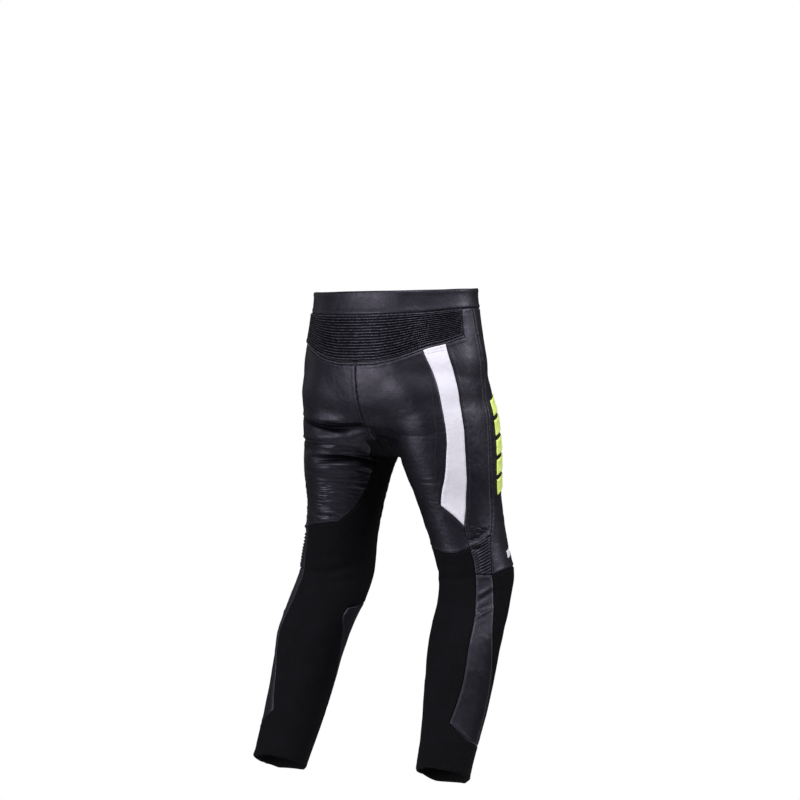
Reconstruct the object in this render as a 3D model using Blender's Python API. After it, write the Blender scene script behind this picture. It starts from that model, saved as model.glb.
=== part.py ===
"""Motorcycle trousers in leather and stretch textile, hollow as if worn.

Metres, +Z up. The wearer faces -Y and the wearer's left is +X. The origin is in the middle of the
waist, level with the top of the waistband at the back.

Every piece is a thin wall cut out of one form. The form is a hip tube blended into two leg tubes.
A place on it is given by a column, counted round the half from the seam between the legs at the
back to the same seam at the front, and a row, counted down from the waist. Long seams are columns,
cross seams are rows, and a piece is what lies between them.
"""

import math

import bpy
import numpy as np
from mathutils import Vector
from mathutils.bvhtree import BVHTree

LEATHER = 0.0020
STRETCH_CLOTH = 0.0018
SEAM_GAP = 0.0003
MITRE_LIMIT = 0.15
BLEND = 0.030

# The hip tube: height, half width, depth behind and in front of the middle.
HIPS = (
    (-0.306, 0.026, 0.022, 0.026),
    (-0.300, 0.046, 0.040, 0.046),
    (-0.290, 0.066, 0.058, 0.066),
    (-0.270, 0.100, 0.084, 0.096),
    (-0.240, 0.135, 0.112, 0.122),
    (-0.210, 0.165, 0.128, 0.136),
    (-0.180, 0.183, 0.135, 0.138),
    (-0.140, 0.187, 0.138, 0.135),
    (-0.100, 0.182, 0.134, 0.130),
    (-0.050, 0.174, 0.126, 0.125),
    (0.000, 0.169, 0.120, 0.120),
    (0.020, 0.169, 0.120, 0.120),
)
HIPS_END = -0.306
HIPS_CLOSING = 4.0

# A leg tube: height, middle outwards and backwards, half width, half depth, turn of the toes out.
LEGS = {
    "left": (
        (-0.960, 0.188, 0.151, 0.051, 0.051, 10),
        (-0.900, 0.184, 0.125, 0.053, 0.052, 10),
        (-0.850, 0.180, 0.103, 0.056, 0.055, 10),
        (-0.780, 0.177, 0.072, 0.060, 0.062, 10),
        (-0.700, 0.174, 0.042, 0.065, 0.066, 10),
        (-0.640, 0.172, 0.018, 0.072, 0.070, 10),
        (-0.583, 0.164, -0.014, 0.076, 0.068, 10),
        (-0.526, 0.157, -0.036, 0.072, 0.072, 10),
        (-0.470, 0.145, -0.031, 0.069, 0.077, 10),
        (-0.393, 0.128, -0.023, 0.072, 0.090, 8),
        (-0.333, 0.117, -0.017, 0.081, 0.104, 6),
        (-0.280, 0.104, -0.016, 0.089, 0.117, 3),
        (-0.230, 0.096, -0.012, 0.093, 0.122, 0),
        (-0.180, 0.090, -0.005, 0.088, 0.118, 0),
        (-0.120, 0.085, 0.000, 0.074, 0.102, 0),
    ),
    "right": (
        (-0.960, 0.187, 0.153, 0.050, 0.048, 10),
        (-0.900, 0.183, 0.125, 0.052, 0.049, 10),
        (-0.850, 0.180, 0.103, 0.054, 0.052, 10),
        (-0.780, 0.177, 0.072, 0.058, 0.061, 10),
        (-0.700, 0.173, 0.042, 0.064, 0.068, 10),
        (-0.640, 0.168, 0.016, 0.070, 0.066, 10),
        (-0.583, 0.163, -0.018, 0.072, 0.063, 10),
        (-0.526, 0.157, -0.036, 0.071, 0.072, 10),
        (-0.470, 0.145, -0.031, 0.069, 0.077, 10),
        (-0.393, 0.129, -0.023, 0.073, 0.090, 8),
        (-0.333, 0.118, -0.017, 0.084, 0.104, 6),
        (-0.280, 0.106, -0.016, 0.093, 0.117, 3),
        (-0.230, 0.098, -0.012, 0.096, 0.122, 0),
        (-0.180, 0.090, -0.005, 0.088, 0.118, 0),
        (-0.120, 0.085, 0.000, 0.074, 0.102, 0),
    ),
}
LEG_TOP = -0.170
# Where a ray from inside the form looks for its surface: from, to and in how many steps.
REACH = (0.01, 0.26, 26)
SIGN = {"left": 1.0, "right": -1.0}

# The upright line that the angles of a half are taken from: it moves from the middle of the leg
# to a place inside the hips between these two heights.
AXIS_LEG, AXIS_HIP, AXIS_OUT = -0.36, -0.20, 0.085

# Long seams, as (height, angle round the half). 0 degrees is straight back, 90 straight outwards.
# "rise" is the seam between the legs below the crotch; above it, it lies on the middle plane.
SEAT_EDGE = ((0.02, -12), (-0.14, -14), (-0.20, -21), (-0.24, -28), (-0.27, -36), (-0.285, -44),
             (-0.30, -54), (-0.315, -61))
OUTER_BACK = ((0.02, 42), (-0.05, 44), (-0.099, 46), (-0.129, 50), (-0.15, 54), (-0.174, 57),
              (-0.195, 60), (-0.22, 61), (-0.264, 61), (-0.285, 58), (-0.306, 55), (-0.33, 51),
              (-0.351, 48), (-0.375, 44), (-0.408, 38), (-0.438, 31), (-0.46, 30), (-0.50, 32),
              (-0.528, 31))
LONG_SEAMS = {
    "rise": ((-0.34, -92), (-0.55, -88), (-0.595, -74), (-0.615, -70), (-0.64, -82),
             (-0.68, -96), (-0.702, -104), (-0.76, -116), (-0.80, -122), (-0.85, -110),
             (-0.93, -95)),
    "seat_edge": {
        "left": SEAT_EDGE + ((-0.333, -66), (-0.36, -64), (-0.39, -54), (-0.417, -41),
                             (-0.435, -26), (-0.45, -20), (-0.93, -20)),
        "right": SEAT_EDGE + ((-0.34, -66), (-0.44, -66), (-0.48, -62), (-0.52, -44),
                              (-0.56, -24), (-0.60, -20), (-0.93, -20)),
    },
    "stripe_back": ((0.02, 16), (-0.05, 18), (-0.111, 22), (-0.129, 25), (-0.153, 30),
                    (-0.174, 34), (-0.195, 37), (-0.22, 40), (-0.26, 40), (-0.285, 37),
                    (-0.306, 32), (-0.33, 26), (-0.351, 20), (-0.375, 13), (-0.40, 7),
                    (-0.44, 3), (-0.53, 2), (-0.60, 4), (-0.70, 6), (-0.90, 4)),
    "outer_back": {
        "left": OUTER_BACK + ((-0.582, 34), (-0.63, 37), (-0.684, 35), (-0.732, 24),
                              (-0.765, 18), (-0.792, 10), (-0.85, 12), (-0.93, 16)),
        "right": OUTER_BACK + ((-0.582, 34), (-0.624, 38), (-0.708, 38), (-0.759, 32),
                               (-0.792, 25), (-0.85, 22), (-0.93, 22)),
    },
    "yoke_end": ((0.02, 68), (-0.04, 69), (-0.087, 70), (-0.13, 74), (-0.20, 80), (-0.26, 79),
                 (-0.33, 70), (-0.42, 60), (-0.47, 50), (-0.528, 43), (-0.60, 50), (-0.70, 66),
                 (-0.79, 66), (-0.90, 62)),
    "outer_front": ((0.02, 90), (-0.05, 92), (-0.129, 97), (-0.183, 101), (-0.24, 100),
                    (-0.264, 97), (-0.345, 89), (-0.42, 84), (-0.447, 75), (-0.471, 67),
                    (-0.501, 60), (-0.528, 56), (-0.561, 60), (-0.609, 68), (-0.669, 85),
                    (-0.714, 103), (-0.76, 112), (-0.84, 114), (-0.93, 110)),
    "flash_back": ((0.02, 104), (-0.129, 109), (-0.24, 111), (-0.345, 104), (-0.42, 102),
                   (-0.47, 92), (-0.528, 84), (-0.60, 92), (-0.669, 108), (-0.714, 122),
                   (-0.84, 130), (-0.93, 128)),
    "flash_front": ((0.02, 130), (-0.24, 140), (-0.345, 136), (-0.42, 134), (-0.528, 126),
                    (-0.60, 132), (-0.70, 150), (-0.84, 154), (-0.93, 152)),
    "inner_front": ((0.02, 165), (-0.14, 172), (-0.24, 190), (-0.27, 203), (-0.285, 213),
                    (-0.30, 225), (-0.315, 233), (-0.34, 234), (-0.40, 226), (-0.47, 220),
                    (-0.528, 218), (-0.60, 222), (-0.93, 222)),
}
KEYS = ("rise_back", "seat_edge", "stripe_back", "outer_back", "yoke_end", "outer_front",
        "flash_back", "flash_front", "inner_front", "rise_front")
KEY = {name: number for number, name in enumerate(KEYS)}

# Cross seams: the height at each long seam, in the order of KEYS, and whether the line between
# two long seams is straight, as cut along a ruler. None is the crotch, where the legs part.
CROSS_SEAMS = (
    ("waist", (0.000, 0.000, 0.001, 0.002, 0.004, 0.005, 0.006, 0.008, 0.009, 0.010), False),
    ("waist_seam",
     (-0.044, -0.043, -0.041, -0.037, -0.033, -0.031, -0.031, -0.030, -0.030, -0.030), False),
    ("yoke_seam",
     (-0.138, -0.134, -0.111, -0.099, -0.087, -0.085, -0.085, -0.086, -0.088, -0.090), False),
    ("gusset",
     (-0.282, -0.285, -0.272, -0.265, -0.262, -0.260, -0.260, -0.262, -0.268, -0.270), False),
    ("crotch",
     (None, -0.316, -0.306, -0.302, -0.300, -0.300, -0.300, -0.302, -0.312, None), False),
    ("stripe_end",
     (-0.394, -0.396, -0.399, -0.438, -0.434, -0.425, -0.420, -0.410, -0.400, -0.394), True),
    ("seat_end",
     (-0.464, -0.474, -0.489, -0.479, -0.466, -0.456, -0.456, -0.458, -0.462, -0.464), False),
    ("knee",
     (-0.528, -0.530, -0.530, -0.528, -0.528, -0.528, -0.520, -0.515, -0.516, -0.528), False),
    ("patch_top",
     (-0.600, -0.600, -0.600, -0.600, -0.600, -0.600, -0.598, -0.596, -0.594, -0.600), False),
    ("calf_end",
     (-0.790, -0.790, -0.790, -0.792, -0.825, -0.840, -0.838, -0.830, -0.810, -0.790), True),
    ("hem",
     (-0.893, -0.874, -0.872, -0.874, -0.881, -0.897, -0.902, -0.908, -0.907, -0.893), False),
)
# The left leg's cloth is pushed up into folds under the seat, so these two lie higher there.
RAISED_ON_THE_LEFT = {
    "stripe_end":
        (-0.380, -0.378, -0.384, -0.404, -0.414, -0.412, -0.408, -0.402, -0.392, -0.380),
    "seat_end":
        (-0.440, -0.436, -0.440, -0.447, -0.452, -0.455, -0.454, -0.453, -0.450, -0.440),
}
SEAM_NAMES = [row[0] for row in CROSS_SEAMS]
ROW = {name: number for number, name in enumerate(SEAM_NAMES)}

# How many cells a plain panel has from each cross seam to the next, and between long seams.
CELLS_DOWN = (2, 4, 7, 3, 4, 3, 4, 3, 7, 4)
CELLS_ROUND = (3, 4, 2, 2, 2, 1, 2, 3, 3)

YOKE_RIBS = 16
YOKE_BAND = 0.085
KNEE_RIBS = 10
RIB_HEIGHT = 0.0018

# What lies on the panels. Widths are in keys, which are the shares of the way between long seams.
OVERLAY_GAP = 0.0006
LOOK_FROM = 0.02
OVERLAY = 0.0012
FLY_WIDTH, FLY_EDGE, FLY_TOP, FLY_FOOT = 0.40, 8.985, -0.034, -0.200
FLY_TURN, FLY_ROUNDING = 0.70, 0.96
TAB_LENGTH, TAB_TOP, TAB_FOOT, TAB_POINT = 0.46, 0.13, 0.87, 0.10
SNAP_RADIUS, SNAP_HEIGHT, SNAP_ROUNDING, SNAP_PLACE = 0.0080, 0.0026, 0.0007, 0.62
FLASH_TOP, FLASH_STEP, FLASH_BAR, FLASH_LEAN, FLASH_BARS = -0.205, 0.037, 0.029, 0.014, 5
MARK_TOP, MARK_FOOT, MARK_FIRST, MARK_LAST, MARK_LEAN = -0.486, -0.500, 6.30, 6.62, 0.004

# Folds on the left thigh: height, angle of the middle, reach each way in degrees, half height,
# depth (a ridge is negative).
LEFT_FOLDS = (
    (-0.240, -8, 38, 0.011, -0.0040),
    (-0.257, -14, 44, 0.009, 0.0055),
    (-0.276, -10, 52, 0.010, -0.0035),
    (-0.295, 24, 34, 0.008, 0.0040),
    (-0.316, -22, 46, 0.009, 0.0050),
    (-0.332, -18, 40, 0.010, -0.0030),
)


def along(table, height, column):
    """A column of a table by height, as a smooth curve that never overshoots its values."""
    rows = sorted(table)
    x = np.array([row[0] for row in rows])
    y = np.array([row[column] for row in rows], float)
    height = np.clip(height, x[0], x[-1])
    step = np.diff(x)
    slope = np.diff(y) / step
    tangent = np.zeros_like(y)
    weighed = (slope[1:] * step[:-1] + slope[:-1] * step[1:]) / (x[2:] - x[:-2])
    tangent[1:-1] = np.where(slope[1:] * slope[:-1] > 0, weighed, 0.0)
    tangent[0], tangent[-1] = slope[0], slope[-1]
    at = np.clip(np.searchsorted(x, height, side="right") - 1, 0, len(x) - 2)
    t = (height - x[at]) / step[at]
    return (
        (2 * t**3 - 3 * t**2 + 1) * y[at]
        + (t**3 - 2 * t**2 + t) * step[at] * tangent[at]
        + (-2 * t**3 + 3 * t**2) * y[at + 1]
        + (t**3 - t**2) * step[at] * tangent[at + 1]
    )


def hip_tube(p):
    x, y, z = p[..., 0], p[..., 1], p[..., 2]
    width = along(HIPS, z, 1)
    depth = np.where(y > 0, along(HIPS, z, 2), along(HIPS, z, 3))
    out = np.sqrt((x / width) ** 2 + (y / depth) ** 2) - 1
    return out * np.minimum(width, depth) + HIPS_CLOSING * np.maximum(0, HIPS_END - z)


def leg_tube(p, side):
    x, y, z = p[..., 0] * SIGN[side], p[..., 1], p[..., 2]
    out, back, width, depth, toes = [along(LEGS[side], z, column) for column in range(1, 6)]
    turn = np.radians(toes)
    across = (x - out) * np.cos(turn) + (y - back) * np.sin(turn)
    fore = -(x - out) * np.sin(turn) + (y - back) * np.cos(turn)
    away = np.sqrt((across / width) ** 2 + (fore / depth) ** 2) - 1
    return away * np.minimum(width, depth) + np.maximum(0, z - LEG_TOP)


def blended(a, b):
    near = np.maximum(BLEND - np.abs(a - b), 0) / BLEND
    return np.minimum(a, b) - near * near * BLEND / 4


def form(p):
    """Below nought inside the body of the trousers and above it outside."""
    return blended(hip_tube(p), blended(leg_tube(p, "left"), leg_tube(p, "right")))


def outward(p, reach=0.0015):
    """The direction straight out of the form."""
    slope = np.stack(
        [form(p + reach * axis) - form(p - reach * axis) for axis in np.eye(3)], axis=-1
    )
    return slope / np.linalg.norm(slope, axis=-1, keepdims=True)


def solve(inside, outside, value, rounds=26):
    """Where value(t), below nought at inside and above it at outside, passes nought."""
    for _ in range(rounds):
        middle = (inside + outside) / 2
        within = value(middle) <= 0
        inside = np.where(within, middle, inside)
        outside = np.where(within, outside, middle)
    return (inside + outside) / 2


def middle_plane_point(height, way):
    """How far back (way 1) or forward (way -1) the form reaches on the middle plane."""
    def value(y):
        return form(np.stack([0 * y, way * y, height], axis=-1))
    return way * solve(np.zeros_like(height), np.full_like(height, 0.20), value)


def crotch_height():
    zero = np.zeros(1)
    def value(drop):
        return form(np.stack([zero, zero, -drop], axis=-1))
    return -float(solve(np.full(1, 0.20), np.full(1, 0.40), value)[0])


CROTCH = crotch_height()


def axis_of(height, side):
    """Outwards and backwards place of the upright line that a half's angles are taken from."""
    fade = np.clip((height - AXIS_LEG) / (AXIS_HIP - AXIS_LEG), 0, 1)
    fade = fade * fade * (3 - 2 * fade)
    out = along(LEGS[side], height, 1) * (1 - fade) + AXIS_OUT * fade
    back = along(LEGS[side], height, 2) * (1 - fade)
    return out, back


def rise_angles(height, side):
    """Angles of the seam between the halves, at the back and at the front."""
    out, back = axis_of(height, side)
    level = np.maximum(height, CROTCH)
    behind = middle_plane_point(level, 1.0)
    ahead = middle_plane_point(level, -1.0)
    above = height > CROTCH
    out_c, back_c = axis_of(np.full_like(height, CROTCH), side)
    at_crotch = np.degrees(np.arctan2(-out_c, -back_c))
    inseam = ((CROTCH, float(np.mean(at_crotch))),) + LONG_SEAMS["rise"]
    below = along(inseam, height, 1)
    first = np.where(above, np.degrees(np.arctan2(-out, behind - back)), below)
    last = np.where(above, 360 + np.degrees(np.arctan2(-out, ahead - back)), 360 + below)
    return first, last


def seam_angle(name, height, side):
    table = LONG_SEAMS[name]
    if isinstance(table, dict):
        table = table[side]
    return along(table, height, 1)


def seam_heights(row, side):
    name, heights, straight = CROSS_SEAMS[row]
    if side == "left":
        heights = RAISED_ON_THE_LEFT.get(name, heights)
    return np.array([CROTCH if h is None else h for h in heights]), straight


def heights_at(column, row, side):
    """Height of each place, from its column (in keys) and row (in cross seams)."""
    low = np.clip(np.floor(row).astype(int), 0, len(CROSS_SEAMS) - 2)
    height = np.zeros_like(column)
    for band in np.unique(low):
        here = low == band
        share = row[here] - band
        upper, upper_straight = seam_heights(band, side)
        lower, lower_straight = seam_heights(band + 1, side)
        height[here] = (
            spread(upper, column[here], upper_straight) * (1 - share)
            + spread(lower, column[here], lower_straight) * share
        )
        if band == ROW["gusset"]:
            # the rise flattens towards the crotch, so its ends come down sooner there
            sooner = np.sin(share * math.pi / 2) - share
            first = np.clip(1 - column[here], 0, 1)
            last = np.clip(column[here] - (len(KEYS) - 2), 0, 1)
            height[here] += sooner * (
                (lower[0] - upper[0]) * first + (lower[-1] - upper[-1]) * last
            )
    return height


def spread(values, column, straight):
    """A cross seam's heights between the long seams."""
    if straight:
        return np.interp(column, range(len(values)), values)
    return along([(float(key), value) for key, value in enumerate(values)], column, 1)


def places(column, row, side):
    """Points of the form for arrays of columns (in keys) and rows (in cross seams)."""
    column, row = np.broadcast_arrays(np.asarray(column, float), np.asarray(row, float))
    shape = column.shape
    column, row = column.ravel(), row.ravel()
    height = heights_at(column, row, side)
    first, last = rise_angles(height, side)
    angles = [first] + [seam_angle(name, height, side) for name in KEYS[1:-1]] + [last]
    angles = np.array(angles)
    key = np.clip(np.floor(column).astype(int), 0, len(KEYS) - 2)
    share = column - key
    pick = np.arange(len(column))
    angle = angles[key, pick] * (1 - share) + angles[key + 1, pick] * share
    out, back = axis_of(height, side)
    sign = SIGN[side]
    start = np.stack([out * sign, back, height], axis=-1)
    ray = np.radians(angle)
    way = np.stack([np.sin(ray) * sign, np.cos(ray), 0 * ray], axis=-1)
    steps = np.linspace(*REACH)
    outside = form(start[:, None] + way[:, None] * steps[:, None]) > 0
    far = np.argmax(outside, axis=1)
    reach = solve(steps[np.maximum(far - 1, 0)], steps[far],
                  lambda t: form(start + way * t[:, None]))
    point = start + way * reach[:, None]
    # on the rise above the crotch the point lies on the middle plane exactly
    above = height >= CROTCH
    behind = above & (column <= 0)
    ahead = above & (column >= len(KEYS) - 1)
    point[behind, 0] = 0.0
    point[ahead, 0] = 0.0
    point[behind, 1] = middle_plane_point(height[behind], 1.0)
    point[ahead, 1] = middle_plane_point(height[ahead], -1.0)
    facing = outward(point)
    if side == "left":
        point = point - facing * fold_depth(angle, height)[:, None]
    return point.reshape(shape + (3,)), facing.reshape(shape + (3,))


def fold_depth(angle, height):
    """How deep the left thigh's folds lie at an angle and a height."""
    depth = np.zeros_like(angle)
    for level, middle, reach, half, deep in LEFT_FOLDS:
        across = np.clip(1 - ((angle - middle) / reach) ** 2, 0, 1) ** 2
        depth += deep * across * np.exp(-(((height - level) / half) ** 2))
    return depth


def divided(cells, first=0):
    """Places at whole numbers and evenly between them: cells[i] steps from i to i + 1."""
    result = [float(first)]
    for number, count in enumerate(cells):
        result += [first + number + (k + 1) / count for k in range(count)]
    return np.array(result)


COLUMNS = divided(CELLS_ROUND)
ROWS = divided(CELLS_DOWN)


class Cloth:
    """Points with their outward directions, and the faces that pieces are made of."""

    def __init__(self):
        self.points, self.facing, self.number = [], [], {}

    def add(self, key, point, facing):
        if key not in self.number:
            self.number[key] = len(self.points)
            self.points.append(point)
            self.facing.append(facing)
        return self.number[key]

    def grid(self, side, column, row):
        """Numbers of a grid of points. Shared places have one point, also across the rise."""
        point, facing = places(column, row, side)
        numbers = np.zeros(column.shape, int)
        last = len(KEYS) - 1
        for i, j in np.ndindex(column.shape):
            c, r = round(column[i, j], 5), round(row[i, j], 5)
            if c in (0, last) and r == ROW["crotch"]:
                key = ("crotch",)
            elif c in (0, last) and r < ROW["crotch"]:
                key = ("rise", c, r)
            elif c == last:
                key = (side, 0.0, r)
            else:
                key = (side, c, r)
            numbers[i, j] = self.add(key, point[i, j], facing[i, j])
        return numbers


def quads(numbers, side):
    """Faces of a grid of numbers, facing outwards."""
    faces = []
    for i in range(numbers.shape[0] - 1):
        for j in range(numbers.shape[1] - 1):
            a, b = numbers[i, j], numbers[i + 1, j]
            c, d = numbers[i + 1, j + 1], numbers[i, j + 1]
            corners = [a, b, c, d] if side == "right" else [d, c, b, a]
            ring = [n for k, n in enumerate(corners) if n != corners[k - 1]]
            faces.append(ring)
    return faces


def within(values, low, high):
    return values[(values >= low - 1e-6) & (values <= high + 1e-6)]


def plain_cells(cloth, side, regions):
    """Faces of the plain panels between (upper row, lower row, first key, last key)."""
    faces = []
    for upper, lower, first, last in regions:
        columns = within(COLUMNS, KEY[first], KEY[last])
        rows = within(ROWS, ROW[upper], ROW[lower])
        faces += quads(cloth.grid(side, *np.meshgrid(columns, rows)), side)
    return faces


def material(name, colour, roughness, metallic=0.0):
    made = bpy.data.materials.new(name)
    made.use_nodes = True
    shader = made.node_tree.nodes["Principled BSDF"]
    shader.inputs["Base Color"].default_value = (*colour, 1.0)
    shader.inputs["Roughness"].default_value = roughness
    shader.inputs["Metallic"].default_value = metallic
    return made


def border(faces):
    """For each point on the edge of the faces, the points before and after it along the edge."""
    used = set()
    for face in faces:
        for k, n in enumerate(face):
            used.add((n, face[(k + 1) % len(face)]))
    edges = [(a, b) for a, b in used if (b, a) not in used]
    after = dict(edges)
    before = {b: a for a, b in edges}
    return edges, before, after


def drawn_in(points, facing, before, after, gap):
    """The points, with those on the edge moved in along the cloth by half a seam's gap."""
    moved = points.copy()
    for n, previous in before.items():
        inwards = []
        for start, end in ((previous, n), (n, after[n])):
            way = points[end] - points[start]
            side = np.cross(facing[n], way)
            inwards.append(side / np.linalg.norm(side))
        together = inwards[0] + inwards[1]
        moved[n] = points[n] + gap / 2 * together / max(1 + inwards[0] @ inwards[1], MITRE_LIMIT)
    return moved


def wall(name, cloth, faces, thickness, finish, relief=None, lift=0.0, gap=SEAM_GAP):
    """One piece: an outer face on the form, an inner face behind it and an edge all round."""
    used = sorted({n for face in faces for n in face})
    renumbered = {n: k for k, n in enumerate(used)}
    faces = [[renumbered[n] for n in face] for face in faces]
    points = np.array([cloth.points[n] for n in used])
    facing = np.array([cloth.facing[n] for n in used])
    edges, before, after = border(faces)
    base = drawn_in(points, facing, before, after, gap)
    raised = np.zeros(len(used)) if relief is None else np.array([relief.get(n, 0) for n in used])
    outer = base + facing * (lift + raised)[:, None]
    inner = base + facing * (lift - thickness)
    count = len(used)
    solid = []
    for face in faces:
        for k in range(1, len(face) - 1):
            a, b, c = face[0], face[k], face[k + 1]
            solid.append((a, b, c))
            solid.append((a + count, c + count, b + count))
    for a, b in edges:
        # the edge is split the same way as the facing edge of the piece next to it
        if used[a] < used[b]:
            solid += [(b, a, b + count), (a, a + count, b + count)]
        else:
            solid += [(b, a, a + count), (b, a + count, b + count)]
    mesh = bpy.data.meshes.new(name)
    mesh.from_pydata(np.concatenate([outer, inner]).tolist(), [], solid)
    mesh.materials.append(finish)
    mesh.shade_smooth()
    mesh.set_sharp_from_angle(angle=math.radians(40))
    piece = bpy.data.objects.new(name, mesh)
    bpy.context.scene.collection.objects.link(piece)
    return piece


# The plain pieces of each half: upper and lower cross seam, first and last long seam.
SIDE_PANEL = (
    ("waist_seam", "yoke_seam", "yoke_end", "outer_front"),
    ("yoke_seam", "seat_end", "outer_back", "outer_front"),
)
FRONT_PANEL = (
    ("waist_seam", "gusset", "outer_front", "rise_front"),
    ("gusset", "knee", "outer_front", "inner_front"),
)
INNER_PANEL = (
    ("gusset", "seat_end", "rise_back", "seat_edge"),
    ("seat_end", "calf_end", "rise_back", "outer_back"),
    ("gusset", "patch_top", "inner_front", "rise_front"),
    ("calf_end", "hem", "rise_back", "rise_front"),
)
CALF_PANEL = (("knee", "calf_end", "outer_back", "outer_front"),)
KNEE_PANEL = (("knee", "calf_end", "outer_front", "inner_front"),)
INNER_PATCH = (("patch_top", "calf_end", "inner_front", "rise_front"),)
SEAT_PANEL = {
    "left": (
        ("yoke_seam", "gusset", "rise_back", "outer_back"),
        ("gusset", "seat_end", "seat_edge", "outer_back"),
    ),
    "right": (
        ("yoke_seam", "gusset", "rise_back", "stripe_back"),
        ("gusset", "stripe_end", "seat_edge", "stripe_back"),
        ("stripe_end", "seat_end", "seat_edge", "outer_back"),
    ),
}
STRIPE = (("yoke_seam", "stripe_end", "stripe_back", "outer_back"),)
SIDES = ("left", "right")


def ribbed_faces(cloth, side, upper, lower, first, last, ribs, plain_end, relief):
    """Faces of an accordion panel. relief gets the height of each rib's crest."""
    columns = within(COLUMNS, KEY[first], KEY[last])
    steps = np.arange(2 * ribs + 1) / (2 * ribs) * (1 - plain_end)
    if plain_end:
        steps = np.append(steps, 1.0)
    rows = ROW[upper] + steps * (ROW[lower] - ROW[upper])
    numbers = cloth.grid(side, *np.meshgrid(columns, rows))
    across = slice(0 if columns[0] == 0 else 1, -1)
    for crest in numbers[1 : 2 * ribs : 2, across]:
        for number in crest:
            relief[number] = RIB_HEIGHT
    return quads(numbers, side)


def waistband(cloth, leather):
    faces = []
    for side in SIDES:
        faces += plain_cells(cloth, side, (("waist", "waist_seam", "rise_back", "rise_front"),))
    return wall("waistband", cloth, faces, LEATHER, leather)


def back_yoke(cloth, leather):
    relief, faces = {}, []
    for side in SIDES:
        faces += ribbed_faces(cloth, side, "waist_seam", "yoke_seam", "rise_back", "yoke_end",
                              YOKE_RIBS, YOKE_BAND, relief)
    return wall("back_yoke", cloth, faces, LEATHER, leather, relief)


def knee_accordion(cloth, side, leather):
    relief = {}
    faces = ribbed_faces(cloth, side, "seat_end", "knee", "outer_back", "outer_front",
                         KNEE_RIBS, 0.0, relief)
    return wall(f"knee_accordion_{side}", cloth, faces, LEATHER, leather, relief)


def row_at(height, column, side):
    """The row, in cross seams, at which a column is at a height."""
    rows = np.linspace(0, len(CROSS_SEAMS) - 1, 401)
    heights = heights_at(np.full_like(rows, column), rows, side)
    return float(np.interp(-height, -heights, rows))


def applied(name, side, column, row, carrier, finish):
    """A piece that lies on a panel: a grid of places, lifted clear of the panel's facets."""
    cloth = Cloth()
    faces = quads(cloth.grid(side, column, row), side)
    panel = BVHTree.FromObject(carrier, bpy.context.evaluated_depsgraph_get())
    for number, (point, facing) in enumerate(zip(cloth.points, cloth.facing)):
        hit = panel.ray_cast(Vector(point + LOOK_FROM * facing), Vector(-facing))[0]
        if hit is not None:
            cloth.points[number] = point + facing * max(0, (np.array(hit) - point) @ facing)
    return wall(name, cloth, faces, OVERLAY, finish, lift=OVERLAY + OVERLAY_GAP)


def fly_placket(front, leather):
    """The flap over the front opening, on the left half, rounding in to the rise at its foot."""
    heights = np.linspace(FLY_TOP, FLY_FOOT, 9)
    along_fly = np.linspace(0, 1, 9)
    turn = np.clip((along_fly - FLY_TURN) / (1 - FLY_TURN), 0, 1)
    widths = FLY_WIDTH * np.sqrt(1 - FLY_ROUNDING * turn**2)
    column = FLY_EDGE - widths[:, None] * np.linspace(1, 0, 4)[None, :]
    row = np.array([[row_at(h, c, "left") for c in line] for h, line in zip(heights, column)])
    return applied("fly_placket", "left", column, row, front, leather)


def waist_tab(band, leather):
    """The end of the waistband that overlaps at the front, on the right half, with its point."""
    share = np.linspace(0, 1, 5)
    column = FLY_EDGE - TAB_LENGTH * share
    top = TAB_TOP + np.where(share == 1, TAB_POINT, 0)
    foot = TAB_FOOT - np.where(share == 1, TAB_POINT, 0)
    down = np.linspace(0, 1, 3)[:, None]
    row = top[None, :] * (1 - down) + foot[None, :] * down
    column = np.broadcast_to(column, row.shape)
    return applied("waist_tab", "right", column[:, ::-1], row[:, ::-1], band, leather)


def waist_snap(metal):
    column = np.array([FLY_EDGE - TAB_LENGTH * SNAP_PLACE])
    point, facing = places(column, np.array([0.5]), "right")
    lift = 2 * OVERLAY_GAP + OVERLAY + SEAM_GAP + SNAP_HEIGHT / 2
    bpy.ops.mesh.primitive_cylinder_add(
        vertices=24, radius=SNAP_RADIUS, depth=SNAP_HEIGHT, location=point[0] + facing[0] * lift
    )
    snap = bpy.context.object
    snap.name = snap.data.name = "waist_snap"
    snap.rotation_euler = Vector(facing[0]).to_track_quat("Z", "Y").to_euler()
    snap.data.materials.append(metal)
    rounded = snap.modifiers.new("rounded", "BEVEL")
    rounded.width, rounded.segments = SNAP_ROUNDING, 2
    return snap


def flash_bars(front, neon):
    """Leaning bars down the front of the right thigh."""
    column, down = np.meshgrid(np.linspace(KEY["flash_back"], KEY["flash_front"], 6),
                               np.linspace(0, 1, 5))
    for number in range(FLASH_BARS):
        top = FLASH_TOP - number * FLASH_STEP
        height = top - FLASH_BAR * down + FLASH_LEAN * (column - KEY["flash_back"])
        row = np.array([[row_at(h, c, "right") for h, c in zip(*line)]
                        for line in zip(height, column)])
        applied(f"flash_bar_{number + 1}", "right", column, row, front, neon)


def knee_mark(front, white):
    column, height = np.meshgrid(np.linspace(MARK_FIRST, MARK_LAST, 2),
                                 np.linspace(MARK_TOP, MARK_FOOT, 2))
    height = height + MARK_LEAN * (column - MARK_FIRST) / (MARK_LAST - MARK_FIRST)
    row = np.array([[row_at(h, c, "right") for h, c in zip(*line)]
                    for line in zip(height, column)])
    return applied("knee_mark", "right", column, row, front, white)


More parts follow.
